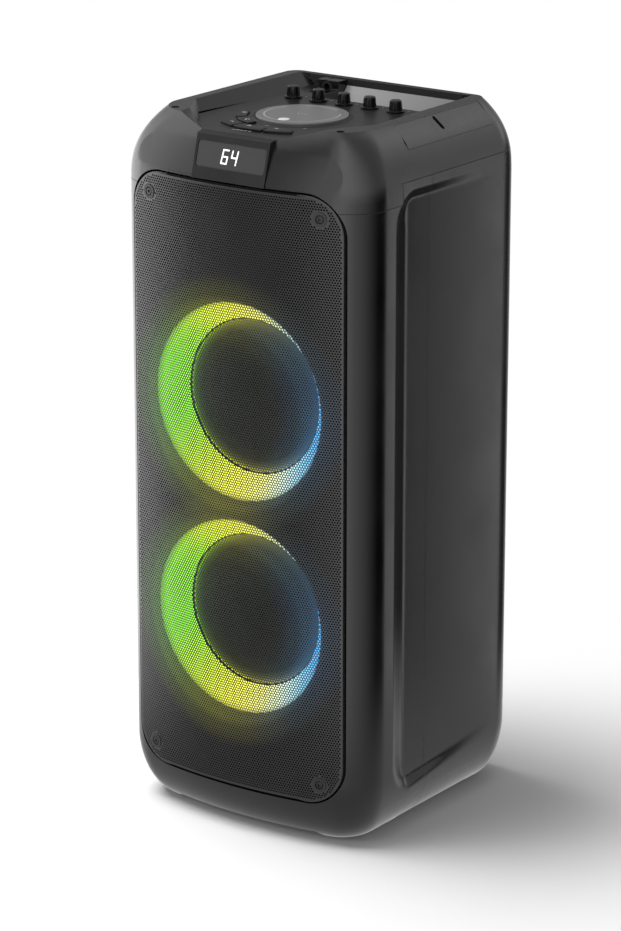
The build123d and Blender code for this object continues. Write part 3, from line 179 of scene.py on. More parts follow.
def new_group(name, inputs, outputs):
    """An empty node group with named sockets. Returns the group and its two end nodes."""
    group = bpy.data.node_groups.new(name, "ShaderNodeTree")
    for label, kind, value in inputs:
        socket = group.interface.new_socket(label, in_out="INPUT", socket_type="NodeSocket" + kind)
        if value is not None:
            socket.default_value = value
    for label, kind in outputs:
        group.interface.new_socket(label, in_out="OUTPUT", socket_type="NodeSocket" + kind)
    return group, group.nodes.new("NodeGroupInput"), group.nodes.new("NodeGroupOutput")


# %% [markdown]
# ## Moulded surfaces
# Black mouldings are never one flat black. The tool leaves a fine spark-eroded texture that
# breaks up reflections, and handling leaves broad patches that are a little more or less
# glossy. Both are made once, in a group, and each material places it with its own values.
# %% The moulded texture group
def make_moulded_group():
    """Noise at two scales: a fine grain for height and colour, and broad patches for gloss."""
    group, given, out = new_group(
        "moulded_texture",
        [("Dark", "Color", grey(0.01)), ("Light", "Color", grey(0.02)), ("Grain Scale", "Float", 1400.0),
         ("Roughness", "Float", 0.45), ("Patchiness", "Float", 0.06)],
        [("Color", "Color"), ("Roughness", "Float"), ("Height", "Float")])
    place = add(group, "TexCoord").outputs["Object"]
    grain = add(group, "TexNoise", {"Vector": place, "Scale": given.outputs["Grain Scale"], "Detail": 2.0})
    patches = add(group, "TexNoise", {"Vector": place, "Scale": 14.0, "Detail": 3.0, "Roughness": 0.6})
    mixed = add(group, "Math", {0: grain.outputs["Fac"], 1: patches.outputs["Fac"]}, operation="MULTIPLY")
    shade = add(group, "MapRange", {"Value": mixed.outputs[0], "From Min": 0.12, "From Max": 0.42})
    colour = add(group, "Mix", {"Factor": shade.outputs[0], "A": given.outputs["Dark"],
                                "B": given.outputs["Light"]}, data_type="RGBA")
    centred = add(group, "Math", {0: patches.outputs["Fac"], 1: 0.5}, operation="SUBTRACT")
    rough = add(group, "Math", {0: centred.outputs[0], 1: given.outputs["Patchiness"],
                                2: given.outputs["Roughness"]}, operation="MULTIPLY_ADD")
    group.links.new(colour.outputs["Result"], out.inputs["Color"])
    group.links.new(rough.outputs[0], out.inputs["Roughness"])
    group.links.new(grain.outputs["Fac"], out.inputs["Height"])
    return group


moulded_group = make_moulded_group()


def moulded(name, dark, light, roughness, patchiness=0.25, grain=0.00035, height=0.00004, edge=0.0,
            **values):
    """A moulded finish: two near shades, a grain of the given size and depth in metres. Its edges
    catch the light as if they had a small radius."""
    material, tree, shader = new_finish(name, **values)
    texture = add(tree, "Group", node_tree=moulded_group)
    texture.inputs["Dark"].default_value = dark
    texture.inputs["Light"].default_value = light
    texture.inputs["Grain Scale"].default_value = 0.5 / grain
    texture.inputs["Roughness"].default_value = roughness
    texture.inputs["Patchiness"].default_value = patchiness
    bump = add(tree, "Bump", {"Height": texture.outputs["Height"], "Distance": height})
    if edge:
        rounded = add(tree, "Bevel", {"Radius": edge}, samples=4)
        tree.links.new(rounded.outputs["Normal"], bump.inputs["Normal"])
    tree.links.new(texture.outputs["Color"], shader.inputs["Base Color"])
    tree.links.new(texture.outputs["Roughness"], shader.inputs["Roughness"])
    tree.links.new(bump.outputs["Normal"], shader.inputs["Normal"])
    return material


# %% Finishes of the mouldings and the dark metal
inside_finish = moulded("unlit_inside", grey(0.002), grey(0.004), 0.7, specular_ior_level=0.1)
shell_finish = moulded("satin_black_shell", grey(0.003), grey(0.005), 0.18, edge=0.0008, ior=1.46)
cap_finish = moulded("satin_black_cap", grey(0.003), grey(0.006), 0.21, edge=0.0009, ior=1.46)
deck_finish = moulded("satin_deck", grey(0.008), grey(0.012), 0.34, edge=0.0005, ior=1.46)
trim_finish = moulded("satin_trim", grey(0.020), grey(0.028), 0.3, edge=0.0006, ior=1.46)
bezel_finish = moulded("display_surround", grey(0.005), grey(0.008), 0.3, edge=0.0008, specular_ior_level=0.3)
matt_finish = moulded("matt_black", grey(0.004), grey(0.007), 0.55, ior=1.45)
grille_finish = moulded("powder_coat", grey(0.008), grey(0.013), 0.45, grain=0.0002, ior=1.5)
rubber_finish = moulded("black_rubber", grey(0.008), grey(0.014), 0.75, grain=0.0005, ior=1.45)
screw_finish = moulded("black_oxide", grey(0.008), grey(0.016), 0.38, grain=0.0003, metallic=0.4)
gloss_finish = moulded("gloss_black", grey(0.002), grey(0.003), 0.16, patchiness=0.05, height=0.000005,
                       edge=0.0005, specular_ior_level=0.22)
key_finish = moulded("keytop", grey(0.003), grey(0.005), 0.24, edge=0.0005, specular_ior_level=0.18)
cone_finish = moulded("paper_cone", grey(0.012), grey(0.022), 0.7, grain=0.0008, height=0.0001)
window_finish = moulded("smoked_acrylic", grey(0.045), grey(0.052), 0.12, patchiness=0.06,
                        height=0.000004, ior=1.49)
board_finish = moulded("solder_mask", (0.004, 0.05, 0.018, 1), (0.006, 0.07, 0.026, 1), 0.3, height=0.00001)
copper_finish = moulded("copper_winding", (0.35, 0.12, 0.05, 1), (0.55, 0.22, 0.1, 1), 0.3, metallic=1.0)
ferrite_finish = moulded("ferrite", grey(0.03), grey(0.05), 0.6)
aluminium_finish = moulded("extruded_aluminium", grey(0.45), grey(0.6), 0.35, metallic=1.0)
battery_finish = moulded("battery_wrap", (0.01, 0.03, 0.12, 1), (0.012, 0.04, 0.16, 1), 0.3)

# %% [markdown]
# ## The jog dial's top
# The platter has a fine spun finish: turning marks run round its centre, so the noise is
# stretched along the angle. The radius comes from the object's coordinates.
# %% Spun finish of the dial
dial_low, dial_high = span("jog_dial")
dial_centre = ((dial_low + dial_high) / 2)[:2]
# the finger dimple: its place from the dial's centre, and its radius
DIMPLE = (0.0, -28.0, 5.2)


def make_dial_finish():
    """Rings of noise about the dial's centre, in brightness and in height."""
    material, tree, shader = new_finish("spun_grey", roughness=0.34, ior=1.46)
    place = add(tree, "TexCoord").outputs["Object"]
    middle = (dial_centre[0] * MM, dial_centre[1] * MM, 0.0)
    moved = add(tree, "VectorMath", {0: place, 1: middle}, operation="SUBTRACT")
    parts = add(tree, "SeparateXYZ", {0: moved.outputs[0]})
    flat = add(tree, "CombineXYZ", {"X": parts.outputs["X"], "Y": parts.outputs["Y"]})
    radius = add(tree, "VectorMath", {0: flat.outputs[0]}, operation="LENGTH")
    rings = add(tree, "TexNoise", {"W": radius.outputs["Value"], "Scale": 2200.0, "Detail": 2.0},
                noise_dimensions="1D")
    ramp = add(tree, "ValToRGB", {"Fac": rings.outputs["Fac"]})
    ramp.color_ramp.elements[0].position = 0.3
    ramp.color_ramp.elements[0].color = grey(0.17)
    ramp.color_ramp.elements[1].position = 0.7
    ramp.color_ramp.elements[1].color = grey(0.24)
    bump = add(tree, "Bump", {"Height": rings.outputs["Fac"], "Distance": 0.00003})
    dimple = add(tree, "VectorMath", {0: flat.outputs[0], 1: (DIMPLE[0] * MM, DIMPLE[1] * MM, 0.0)},
                 operation="DISTANCE")
    white = add(tree, "MapRange", {"Value": dimple.outputs["Value"], "From Min": DIMPLE[2] * MM,
                                   "From Max": (DIMPLE[2] + 0.4) * MM, "To Min": 1.0, "To Max": 0.0})
    colour = add(tree, "Mix", {"Factor": white.outputs[0], "A": ramp.outputs["Color"],
                               "B": grey(0.9)}, data_type="RGBA")
    tree.links.new(colour.outputs["Result"], shader.inputs["Base Color"])
    tree.links.new(bump.outputs["Normal"], shader.inputs["Normal"])
    return material


dial_finish = make_dial_finish()

# %% [markdown]
# ## Light that runs round a ring
# A strip of coloured diodes lights each funnel, and the funnel blurs them into one band whose
# hue changes with the angle: green on the left, yellow above and below, blue on the right. A
# radial gradient gives the angle, a colour ramp turns it into the hue, and a second ramp on
# the radius dims the band towards its mouth.
# %% Glow of the ring lights
GLOW_STOPS = [(0, (81, 155, 200)), (20, (70, 136, 183)), (40, (100, 146, 169)), (60, (156, 172, 157)),
              (80, (204, 202, 108)), (100, (211, 212, 72)), (120, (202, 223, 59)), (140, (163, 223, 44)),
              (160, (143, 226, 44)), (200, (145, 230, 47)), (220, (176, 227, 53)), (240, (205, 225, 61)),
              (260, (225, 225, 81)), (280, (218, 215, 119)), (300, (187, 202, 188)), (320, (123, 176, 201)),
              (340, (77, 155, 205))]


def linear(colour):
    """Linear light of an 8-bit colour."""
    share = np.array(colour) / 255
    return (*np.where(share < 0.04045, share / 12.92, ((share + 0.055) / 1.055) ** 2.4), 1.0)


def set_ramp(node, stops, interpolation="LINEAR"):
    """Gives a colour ramp exactly these (position, colour) stops."""
    ramp = node.color_ramp
    ramp.interpolation = interpolation
    while len(ramp.elements) > 1:
        ramp.elements.remove(ramp.elements[-1])
    ramp.elements[0].position, ramp.elements[0].color = stops[0]
    for position, colour in stops[1:]:
        ramp.elements.new(position).color = colour


def turn_stops(levels):
    """Ramp stops for a radial gradient, which starts at half a turn and grows anticlockwise."""
    placed = sorted(((degrees / 360 + 0.5) % 1.0, colour) for degrees, colour in levels)
    first, last = placed[0], placed[-1]
    share = first[0] / (first[0] + 1 - last[0])
    edge = tuple((1 - share) * np.array(first[1]) + share * np.array(last[1]))
    return [(0.0, edge)] + placed + [(1.0, edge)]


# levels of the light by radius, in millimetres: on the funnel, and the painted light on what lies inside it
BAND_LEVELS = [(0, 0), (70.2, 0), (70.7, 1.0), (86.5, 0.95), (89.4, 0.6), (91.0, 0.2), (94.0, 0.05),
               (99.5, 0.0)]
INNER_LEVELS = [(0, 0.010), (50.0, 0.014), (60.0, 0.05), (64.5, 0.2), (68.5, 0.55), (70.4, 0.9), (70.8, 0)]
LEVELS_REACH = 100.0
# the painted light on the surround is strongest on this side
SURROUND_SIDE = radians(205)


def make_ring_group():
    """Colour of a ring light at a point: the hue follows the angle about the woofer's axis, the level
    the radius. Inside the funnel, its light is painted over the surround, fading out, most on the side it
    faces."""
    group, given, out = new_group("ring_light_colour", [("Point", "Vector", None), ("Height", "Float", 0.0)],
                                  [("Color", "Color"), ("Hue", "Color")])
    axis = add(group, "CombineXYZ", {"Z": given.outputs["Height"]})
    moved = add(group, "VectorMath", {0: given.outputs["Point"], 1: axis.outputs[0]}, operation="SUBTRACT")
    parts = add(group, "SeparateXYZ", {0: moved.outputs[0]})
    flat = add(group, "CombineXYZ", {"X": parts.outputs["X"], "Y": parts.outputs["Z"]})
    angle = add(group, "TexGradient", {"Vector": flat.outputs[0]}, gradient_type="RADIAL")
    hue = add(group, "ValToRGB", {"Fac": angle.outputs["Fac"]})
    set_ramp(hue, turn_stops([(degrees, linear(colour)) for degrees, colour in GLOW_STOPS]))
    radius = add(group, "VectorMath", {0: flat.outputs[0]}, operation="LENGTH")
    share = add(group, "Math", {0: radius.outputs["Value"], 1: LEVELS_REACH * MM}, operation="DIVIDE")
    band = add(group, "ValToRGB", {"Fac": share.outputs[0]})
    set_ramp(band, [(r / LEVELS_REACH, grey(level)) for r, level in BAND_LEVELS])
    inner = add(group, "ValToRGB", {"Fac": share.outputs[0]})
    set_ramp(inner, [(r / LEVELS_REACH, grey(level)) for r, level in INNER_LEVELS])
    lit_side = (np.cos(SURROUND_SIDE), np.sin(SURROUND_SIDE), 0)
    facing = add(group, "VectorMath", {0: flat.outputs[0], 1: lit_side}, operation="DOT_PRODUCT")
    side = add(group, "MapRange", {"Value": facing.outputs["Value"], "From Min": -0.06, "From Max": 0.06,
                                   "To Min": 0.3, "To Max": 1.0})
    weak = add(group, "Math", {0: inner.outputs["Color"], 1: side.outputs[0]}, operation="MULTIPLY")
    level = add(group, "Math", {0: weak.outputs[0], 1: band.outputs["Color"]}, operation="ADD")
    strong = add(group, "Gamma", {"Color": hue.outputs["Color"], "Gamma": 1.25})
    glow = add(group, "VectorMath", {0: strong.outputs["Color"], "Scale": level.outputs[0]},
               operation="SCALE")
    group.links.new(glow.outputs[0], out.inputs["Color"])
    group.links.new(strong.outputs["Color"], out.inputs["Hue"])
    return group


ring_group = make_ring_group()


def make_glow(name, height, strength, **values):
    """A surface that shows the light of the ring at this height."""
    material, tree, shader = new_finish(name, **values)
    ring = add(tree, "Group", node_tree=ring_group)
    tree.links.new(add(tree, "TexCoord").outputs["Object"], ring.inputs["Point"])
    ring.inputs["Height"].default_value = height * MM
    tree.links.new(ring.outputs["Color"], shader.inputs["Emission Color"])
    shader.inputs["Emission Strength"].default_value = strength
    return material


# %% Heights of the two woofers
woofers = {}
for place in ("lower", "upper"):
    low, high = span(f"ring_light_{place}")
    woofers[place] = (low[2] + high[2]) / 2
print("woofer heights:", woofers)

# %% [markdown]
# ## The hollow in the cabinet's sides
# The shells carry a shallow hollow on each side, as deep as a finger at the front and running
# out towards the back. Its edge is a soft roll. The triangles of the solids are split until
# they are small enough there, and each new corner is then moved to the hollow's own surface.
# %% Splitting triangles and shaping the hollow
def split_long_edges(points, faces, longest):
    """Splits triangles until no edge is longer than allowed at its middle."""
    for _ in range(12):
        ends = np.sort(faces[:, [0, 1, 1, 2, 2, 0]].reshape(-1, 2), axis=1)
        edges, edge_of = np.unique(ends, axis=0, return_inverse=True)
        edge_of = edge_of.reshape(-1, 3)
        middles = points[edges].mean(axis=1)
        lengths = np.linalg.norm(points[edges[:, 0], :3] - points[edges[:, 1], :3], axis=1)
        long_one = lengths > longest(middles)
        if not long_one.any():
            break
        fresh = np.full(len(edges), -1)
        fresh[long_one] = len(points) + np.arange(int(long_one.sum()))
        points = np.concatenate((points, middles[long_one]))
        # each triangle is turned so that its longest edge comes first, and is halved there
        own = np.where(long_one[edge_of], lengths[edge_of], -1.0)
        first = own.argmax(axis=1)
        turn = (first[:, None] + np.arange(3)) % 3
        rolled = np.take_along_axis(faces, turn, axis=1)
        middle = fresh[np.take_along_axis(edge_of, turn, axis=1)]
        a, b, c = rolled.T
        ab, bc, ca = middle.T
        done = [rolled[ab < 0]]
        split = ab >= 0
        for has_bc, has_ca in ((False, False), (True, False), (False, True), (True, True)):
            some = split & ((bc >= 0) == has_bc) & ((ca >= 0) == has_ca)
            left = [(a, ab, ca), (ab, c, ca)] if has_ca else [(a, ab, c)]
            right = [(ab, b, bc), (ab, bc, c)] if has_bc else [(ab, b, c)]
            done += [np.stack([corner[some] for corner in triangle], -1) for triangle in left + right]
        faces = np.concatenate(done)
    return points, faces


# the walls' own form: where the shoulder starts, its height, draw and power, and the foot's round
SHOULDER_START, SHOULDER_TALL, SHOULDER_DRAW, SHOULDER_POWER = 585.0, 66.5, 27.5, 2.6
FOOT_TALL, FOOT_DRAW = 62.0, 34.0
# the hollow: its edges, the rise of its lower edge, its corners and depth
HOLLOW_FRONT, HOLLOW_TOP, HOLLOW_FOOT, FOOT_RISE = -74.0, 599.0, 36.0, 0.127
HOLLOW_CORNER, HOLLOW_DEPTH = 34.0, 7.0
# the slopes that lead into it, from the front and from above or below, and its run-out to the back
FRONT_SLOPE, EDGE_SLOPE = 26.0, 11.0
RUN_OUT_FROM, RUN_OUT_LONG, RUN_OUT_POWER = -46.0, 138.0, 1.35
# the stretch of wall that is reshaped, and the longest triangle edges in it
ZONE_Y, ZONE_Z, ZONE_X = (-79.0, 96.0), (30.0, HOLLOW_TOP + 4.0), 112.0
OUTER_WALL_X = 126.4
FINE_EDGE, COARSE_EDGE = 3.0, 9.0


def inset(z):
    """How far the cabinet's walls draw in, towards the top and at the foot."""
    shoulder = SHOULDER_DRAW * (np.clip(z - SHOULDER_START, 0, None) / SHOULDER_TALL) ** SHOULDER_POWER
    foot = FOOT_DRAW * (1 - np.sqrt(1 - np.clip((FOOT_TALL - z) / FOOT_TALL, 0, 1) ** 2))
    return shoulder + foot


def eased(share, ease=0.22):
    """A straight ramp from 0 to 1 with rounded ends."""
    def start(t):
        return np.clip(t, 0, ease) ** 2 / (2 * ease) + np.clip(t - ease, 0, None)
    return (start(share) - start(share - 1 + ease)) / (1 - ease)


def hollow_depth(y, z):
    """Depth of the hollow: full behind its front edge, then running out towards the back."""
    from_front, from_top = y - HOLLOW_FRONT, HOLLOW_TOP - z
    from_foot = z - (HOLLOW_FOOT + FOOT_RISE * from_front)
    up = np.minimum(from_top, from_foot)
    ca, cb = np.maximum(HOLLOW_CORNER - from_front, 0), np.maximum(HOLLOW_CORNER - up, 0)
    rounded = (ca > 0) & (cb > 0)
    reach = np.hypot(ca, cb)
    inside = np.where(rounded, HOLLOW_CORNER - reach, np.minimum(from_front, up))
    across = np.where(rounded, ca / np.maximum(reach, 1e-6), (from_front < up) * 1.0)
    width = np.sqrt((FRONT_SLOPE * across) ** 2 + EDGE_SLOPE**2 * (1 - across**2))
    edge = eased(np.clip(inside / width, 0, 1))
    run_out = (1 - np.clip((y - RUN_OUT_FROM) / RUN_OUT_LONG, 0, 1)) ** RUN_OUT_POWER
    return HOLLOW_DEPTH * edge * run_out


def with_hollow(points, faces):
    """Moves the outer side walls of a shell to the hollow's surface."""
    def longest(middles):
        y, z = middles[:, 1], middles[:, 2]
        zone = (np.abs(middles[:, 0]) > ZONE_X) & (y > ZONE_Y[0] - 1) & (y < ZONE_Y[1] + 2)
        zone &= (z > ZONE_Z[0] - 2) & (z < ZONE_Z[1])
        edge = zone & ((y < HOLLOW_FRONT + 36) | (z > HOLLOW_TOP - 24) | (z < ZONE_Z[0] + 45))
        return np.where(edge, FINE_EDGE, np.where(zone, COARSE_EDGE, 1e9))

    side = np.sign(points[faces].mean(axis=1)[:, 0])
    cross = np.cross(points[faces[:, 1]] - points[faces[:, 0]], points[faces[:, 2]] - points[faces[:, 0]])
    outward = cross[:, 0] * side / np.maximum(np.linalg.norm(cross, axis=1), 1e-12)
    x, y, z = np.abs(points[faces]).min(axis=1)[:, 0], points[faces][..., 1], points[faces][..., 2]
    wall = (outward > 0.2) & (x > OUTER_WALL_X - inset(z).max(axis=1)) & (y.max(axis=1) > ZONE_Y[0] - 1)
    wall &= (y.min(axis=1) < ZONE_Y[1] + 2) & (z.min(axis=1) < ZONE_Z[1])
    on_wall = np.zeros(len(points), bool)
    on_wall[faces[wall].ravel()] = True
    marked = np.concatenate((points, on_wall[:, None] * 1.0), axis=1)
    marked, faces = split_long_edges(marked, faces, longest)
    points, on_wall = marked[:, :3], marked[:, 3] > 0.999
    x, y, z = points.T
    shaped = half_width - inset(z) - hollow_depth(y, z)
    chosen = (y > ZONE_Y[0]) & (y < ZONE_Y[1]) & (z > ZONE_Z[0]) & (z < ZONE_Z[1])
    chosen &= on_wall | (np.abs(x) > shaped)
    points[:, 0] = np.where(chosen, np.sign(x) * np.minimum(shaped, half_width), x)
    return points, faces


# %% [markdown]
# ## Dressing the solids
# A node of the solid model is loose triangles, so it shades as flat facets. Where its shape is
# already right, a copy of it is merged and shaded smoothly up to a crease angle, which keeps
# the moulded edges crisp and the round forms round.
# %% Smooth copies of the nodes
record_slots = {part["node"]: part["material_slot"] for part in frame["record"]["subparts"]}


def dressed(node, material, crease=30.0, reshape=None):
    """A merged, smoothly shaded copy of a node that stands for it. It may be reshaped on the way."""
    source = frame["nodes"][node]
    mesh = source.data.copy()
    mesh.name = node + "_skin"
    made = bpy.data.objects.new(node + "_skin", mesh)
    bpy.context.scene.collection.objects.link(made)
    count = len(mesh.vertices)
    points = np.empty(count * 3, np.float32)
    mesh.vertices.foreach_get("co", points)
    triangles = np.empty(len(mesh.loops), np.int32)
    mesh.loops.foreach_get("vertex_index", triangles)
    points, where = np.unique(np.round(points.reshape(-1, 3), 7), axis=0, return_inverse=True)
    faces = where.ravel()[triangles].reshape(-1, 3)
    whole = (faces[:, 0] != faces[:, 1]) & (faces[:, 1] != faces[:, 2]) & (faces[:, 2] != faces[:, 0])
    points, faces = points / MM, faces[whole]
    if reshape:
        points, faces = reshape(points, faces)
    mesh.clear_geometry()
    fill_mesh(mesh, points, faces)
    mesh.shade_smooth()
    mesh.set_sharp_from_angle(angle=radians(crease))
    mesh.materials.clear()
    mesh.materials.append(material)
    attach(made, source["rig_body"])
    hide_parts(node)
    return made


FINISHES = {
    "shell_plastic": shell_finish, "cap_plastic": cap_finish, "trim_plastic": trim_finish,
    "grille_steel": grille_finish, "frame_plastic": matt_finish, "black_rubber": rubber_finish,
    "black_screw": screw_finish, "circuit_board": board_finish, "basket_steel": matt_finish,
    "ferrite": ferrite_finish, "cone_pulp": cone_finish, "coil_copper": copper_finish,
    "deck_plastic": deck_finish, "dial_plastic": dial_finish, "knob_plastic": gloss_finish,
    "key_rubber": key_finish, "bezel_plastic": bezel_finish, "window": window_finish,
    "grip_rubber": rubber_finish, "socket_plastic": matt_finish, "panel_plastic": matt_finish,
    "sink_aluminium": aluminium_finish, "battery_wrap": battery_finish,
}
for node in sorted(frame["nodes"]):
    kind, place = node.rsplit("_", 1)[0], node.rsplit("_", 1)[-1]
    if node == "grille":
        continue
    # painted light: the surround, cone and dust cap glow in the ring's light, though they are no lamps
    if kind in ("surround", "cone", "dust_cap"):
        level = {"surround": 1.6, "cone": 1.2, "dust_cap": 1.0}[kind]
        dressed(node, make_glow(node + "_lit", woofers[place], level, base_color=grey(0.006), roughness=0.6,
                                specular_ior_level=0.12))
    elif node in ("baffle", "grille_frame") or kind in ("ring_light", "basket"):
        dressed(node, inside_finish)
    elif node in ("front_shell", "rear_shell", "top_cap"):
        crease = 14.0 if node == "top_cap" else 30.0
        dressed(node, FINISHES[record_slots[node]], crease, with_hollow)
    elif record_slots[node] in FINISHES:
        dressed(node, FINISHES[record_slots[node]])
    else:
        dressed(node, matt_finish)

# %% [markdown]
# Each ring light shows a diffusing funnel. A black lip runs round its mouth, just behind the
# grille, and hides the edge of the light.
# %% Funnels and lips
LIT_THROAT = (70.4, -97.0)
LIT_MOUTH = (90.6, -121.4)
for place, height in woofers.items():
    share = np.linspace(0, 1, 24)[:, None]
    funnel = (1 - share) * LIT_THROAT + share * LIT_MOUTH
    points, faces = turned(funnel, 240, (0.0, height))
    lit = make_glow(f"ring_light_{place}", height, 2.7, base_color=grey(0.15), roughness=0.5)
    piece(f"funnel_{place}", points, faces, lit, crease=60.0)
    turn = np.linspace(np.pi, 0.0, 10)
    lip = np.stack((92.0 + 1.4 * np.cos(turn), -121.4 - 1.0 * np.sin(turn)), -1)
    lip = np.concatenate((lip, [(93.0, -120.0), (94.4, -118.05)]))
    points, faces = turned(lip, 240, (0.0, height))
    piece(f"lip_{place}", points, faces, matt_finish, crease=60.0)

# %% [markdown]
# ## Print, digits and the scoop's back slope
# Print is laid on the surface under it: flat strips are worked out in plan, and each of their
# points takes its height from the triangle of the solid that lies there.
# %% Strips laid on a surface
def surface(node, flat, axes=(0, 1, 2), outward=1):
    """How far out a node's skin reaches along the third axis, over points in the first two."""
    mesh = frame["nodes"][node].data
    points = np.empty(len(mesh.vertices) * 3, np.float32)
    mesh.vertices.foreach_get("co", points)
    corner = np.empty(len(mesh.loops), np.int32)
    mesh.loops.foreach_get("vertex_index", corner)
    corners = (points.reshape(-1, 3) / MM)[corner.reshape(-1, 3)][..., list(axes)]
    a, ab, ac = corners[:, 0], corners[:, 1] - corners[:, 0], corners[:, 2] - corners[:, 0]
    area = ab[:, 0] * ac[:, 1] - ac[:, 0] * ab[:, 1]
    wide = np.abs(area) > 1e-5
    a, ab, ac, area = a[wide], ab[wide], ac[wide], area[wide]
    dx, dy = flat[:, None, 0] - a[:, 0], flat[:, None, 1] - a[:, 1]
    v = (dx * ac[:, 1] - ac[:, 0] * dy) / area
    w = (ab[:, 0] * dy - dx * ab[:, 1]) / area
    hit = (v > -1e-4) & (w > -1e-4) & (v + w < 1.0001)
    reach = (a[:, 2] + v * ab[:, 2] + w * ac[:, 2]) * outward
    reach = np.where(hit, reach, -np.inf).max(axis=1) * outward
    assert np.isfinite(reach).all(), (node, flat[~np.isfinite(reach)])
    return reach


def bar(start, end, width):
    """A straight stroke with round ends: points along it, and its width at each."""
    start, end = np.array(start, float), np.array(end, float)
    unit = (end - start) / np.linalg.norm(end - start)
    turn = np.linspace(0.02, np.pi / 2, 6)[:, None]
    near, far = start - unit * np.cos(turn) * width / 2, end + unit * np.cos(turn[::-1]) * width / 2
    return np.concatenate((near, far)), np.concatenate((np.sin(turn), np.sin(turn[::-1])))[:, 0] * width


def arc(centre, radius, first, last, width, count=48):
    """A round stroke, between two angles in degrees."""
    turn = np.radians(np.linspace(first, last, count))
    line = np.stack((centre[0] + radius * np.cos(turn), centre[1] + radius * np.sin(turn)), -1)
    return line, np.full(count, float(width))


def strokes(name, lines, node, body, material, axes=(0, 1, 2), outward=1, lift=0.06):
    """Flat strips of print along lines, laid on a node's skin."""
    points, faces, count = [], [], 0
    for line, width in lines:
        along = np.gradient(line, axis=0)
        along /= np.maximum(np.linalg.norm(along, axis=1, keepdims=True), 1e-9)
        side = np.stack((-along[:, 1], along[:, 0]), -1) * width[:, None] / 2
        flat = np.concatenate((line + side, line - side))
        made = np.empty((len(flat), 3))
        made[:, axes[0]], made[:, axes[1]] = flat.T
        made[:, axes[2]] = surface(node, flat, axes, outward) + lift * outward
        points.append(made)
        faces.append(grid_faces(2, len(line))[:, ::-1] + count)
        count += len(made)
    return piece(name, np.concatenate(points), np.concatenate(faces), material, body)


# %% White print
ink = new_finish("white_print", base_color=grey(0.75), roughness=0.5)[0]
pale_ink = new_finish("grey_print", base_color=grey(0.7), roughness=0.5)[0]
lit_ink = new_finish("lit_segments", base_color=grey(0.6), emission_color=grey(1.0), emission_strength=1.0)[0]

dial_marks = [arc(dial_centre, 34.0, 150, 392, 0.8, 120), arc(dial_centre, 34.0, 60, 120, 0.8)]
dial_marks += [bar(dial_centre + (dx, 1.5), dial_centre + (dx + 2.2, -1.5), 0.6) for dx in (-5.0, -1.2, 2.6)]
dimple_radii = np.array([0.01, 2.0, DIMPLE[2] - 0.3, DIMPLE[2]])
dimple_profile = np.stack((dimple_radii, dial_high[2] + np.array([0.05, 0.05, 0.05, -0.1])), -1)
dimple_points, dimple_faces = turned(dimple_profile[::-1], 48, dial_centre + np.array(DIMPLE[:2]), "z")
# the dimple is white, and the faint emission on it is a painted glow
dimple_painted_glow = new_finish("white_dimple_painted_glow", base_color=grey(0.9), roughness=0.25, emission_color=grey(1.0),
                   emission_strength=0.15)[0]
piece("dial_dimple", dimple_points, dimple_faces, dimple_painted_glow, "jog_dial")
strokes("dial_print", dial_marks, "jog_dial", "jog_dial", pale_ink)

KEY_MARKS = {
    "key_1": [bar((-49.0, -46.0), (-45.5, -46.0), 1.0), bar((-49.0, -48.2), (-45.5, -48.2), 1.0)],
    "key_2": [arc((-27.0, -70.0), 1.7, 0, 300, 0.9)],
    "key_3": [bar((-34.5, -85.0), (-32.5, -83.4), 1.0), bar((-32.5, -83.4), (-30.6, -86.2), 1.0)],
    "key_4": [bar((-10.5, -91.5), (-10.5, -88.7), 1.0), bar((-8.6, -91.5), (-8.6, -88.7), 1.0)],
    "key_5": [bar((16.0, -86.5), (18.8, -86.5), 1.0), bar((17.4, -87.9), (17.4, -85.1), 1.0)],
}
for node, lines in KEY_MARKS.items():
    strokes(node + "_print", lines, node, node, ink)

deck_marks = [bar((x, -104.7 + (x + 17.5) * 0.1), (x + 2.6, -104.4 + (x + 17.5) * 0.1), 1.0)
              for x in (-17.5, -13.4, -9.3, -5.2, -1.1)]
deck_marks += [bar((x, 47.5), (x + 1.6, 47.5), 0.7) for x in (-49.0, -20.8, 7.4, 35.6, 63.8)]
deck_marks += [bar((31.0, -66.0), (33.6, -65.0), 0.7), bar((-3.0, -75.0), (0.4, -74.8), 0.7)]
strokes("deck_print", deck_marks, "control_deck", "cabinet", ink)

# %% Digits of the display
DIGIT_WIDE, DIGIT_TALL, STROKE, SLANT = 5.6, 11.4, 1.35, 0.12
DIGIT_LINES = {
    "6": [((1, 1), (0, 1)), ((0, 1), (0, 0)), ((0, 0), (1, 0)), ((1, 0), (1, 0.5)), ((1, 0.5), (0, 0.5))],
    "4": [((0, 1), (0, 0.5)), ((0, 0.5), (1, 0.5)), ((1, 1), (1, 0))],
}
window_low, window_high = span("display_window")
window_z = (window_low[2] + window_high[2]) / 2
for place, digit, left in (("tens", "6", -9.4), ("units", "4", 0.6)):
    lines = []
    for start, end in DIGIT_LINES[digit]:
        ends = [(left + DIGIT_WIDE * u + SLANT * DIGIT_TALL * (v - 0.5), window_z + DIGIT_TALL * (v - 0.5))
                for u, v in (start, end)]
        lines.append(bar(ends[0], ends[1], STROKE))
    strokes("digit_" + place, lines, "display_window", "cabinet", lit_ink, (0, 2, 1), -1)

# %% The scoop's back slope, with a painted reflection
def make_slope_with_painted_reflection():
    """Satin black with a painted reflection: its base colour is pale grey, paler towards the scoop's left
    end.
    """
    material, tree, shader = new_finish("black_with_painted_reflection", roughness=0.3, ior=1.46)
    place = add(tree, "SeparateXYZ", {0: add(tree, "TexCoord").outputs["Object"]})
    # painted reflection: the base colour runs from 0.42 at the left end to 0.20 at the right
    level = add(tree, "MapRange", {"Value": place.outputs["X"], "From Min": -0.042, "From Max": 0.078,
                                   "To Min": 0.42, "To Max": 0.20})
    tree.links.new(level.outputs[0], shader.inputs["Base Color"])
    return material


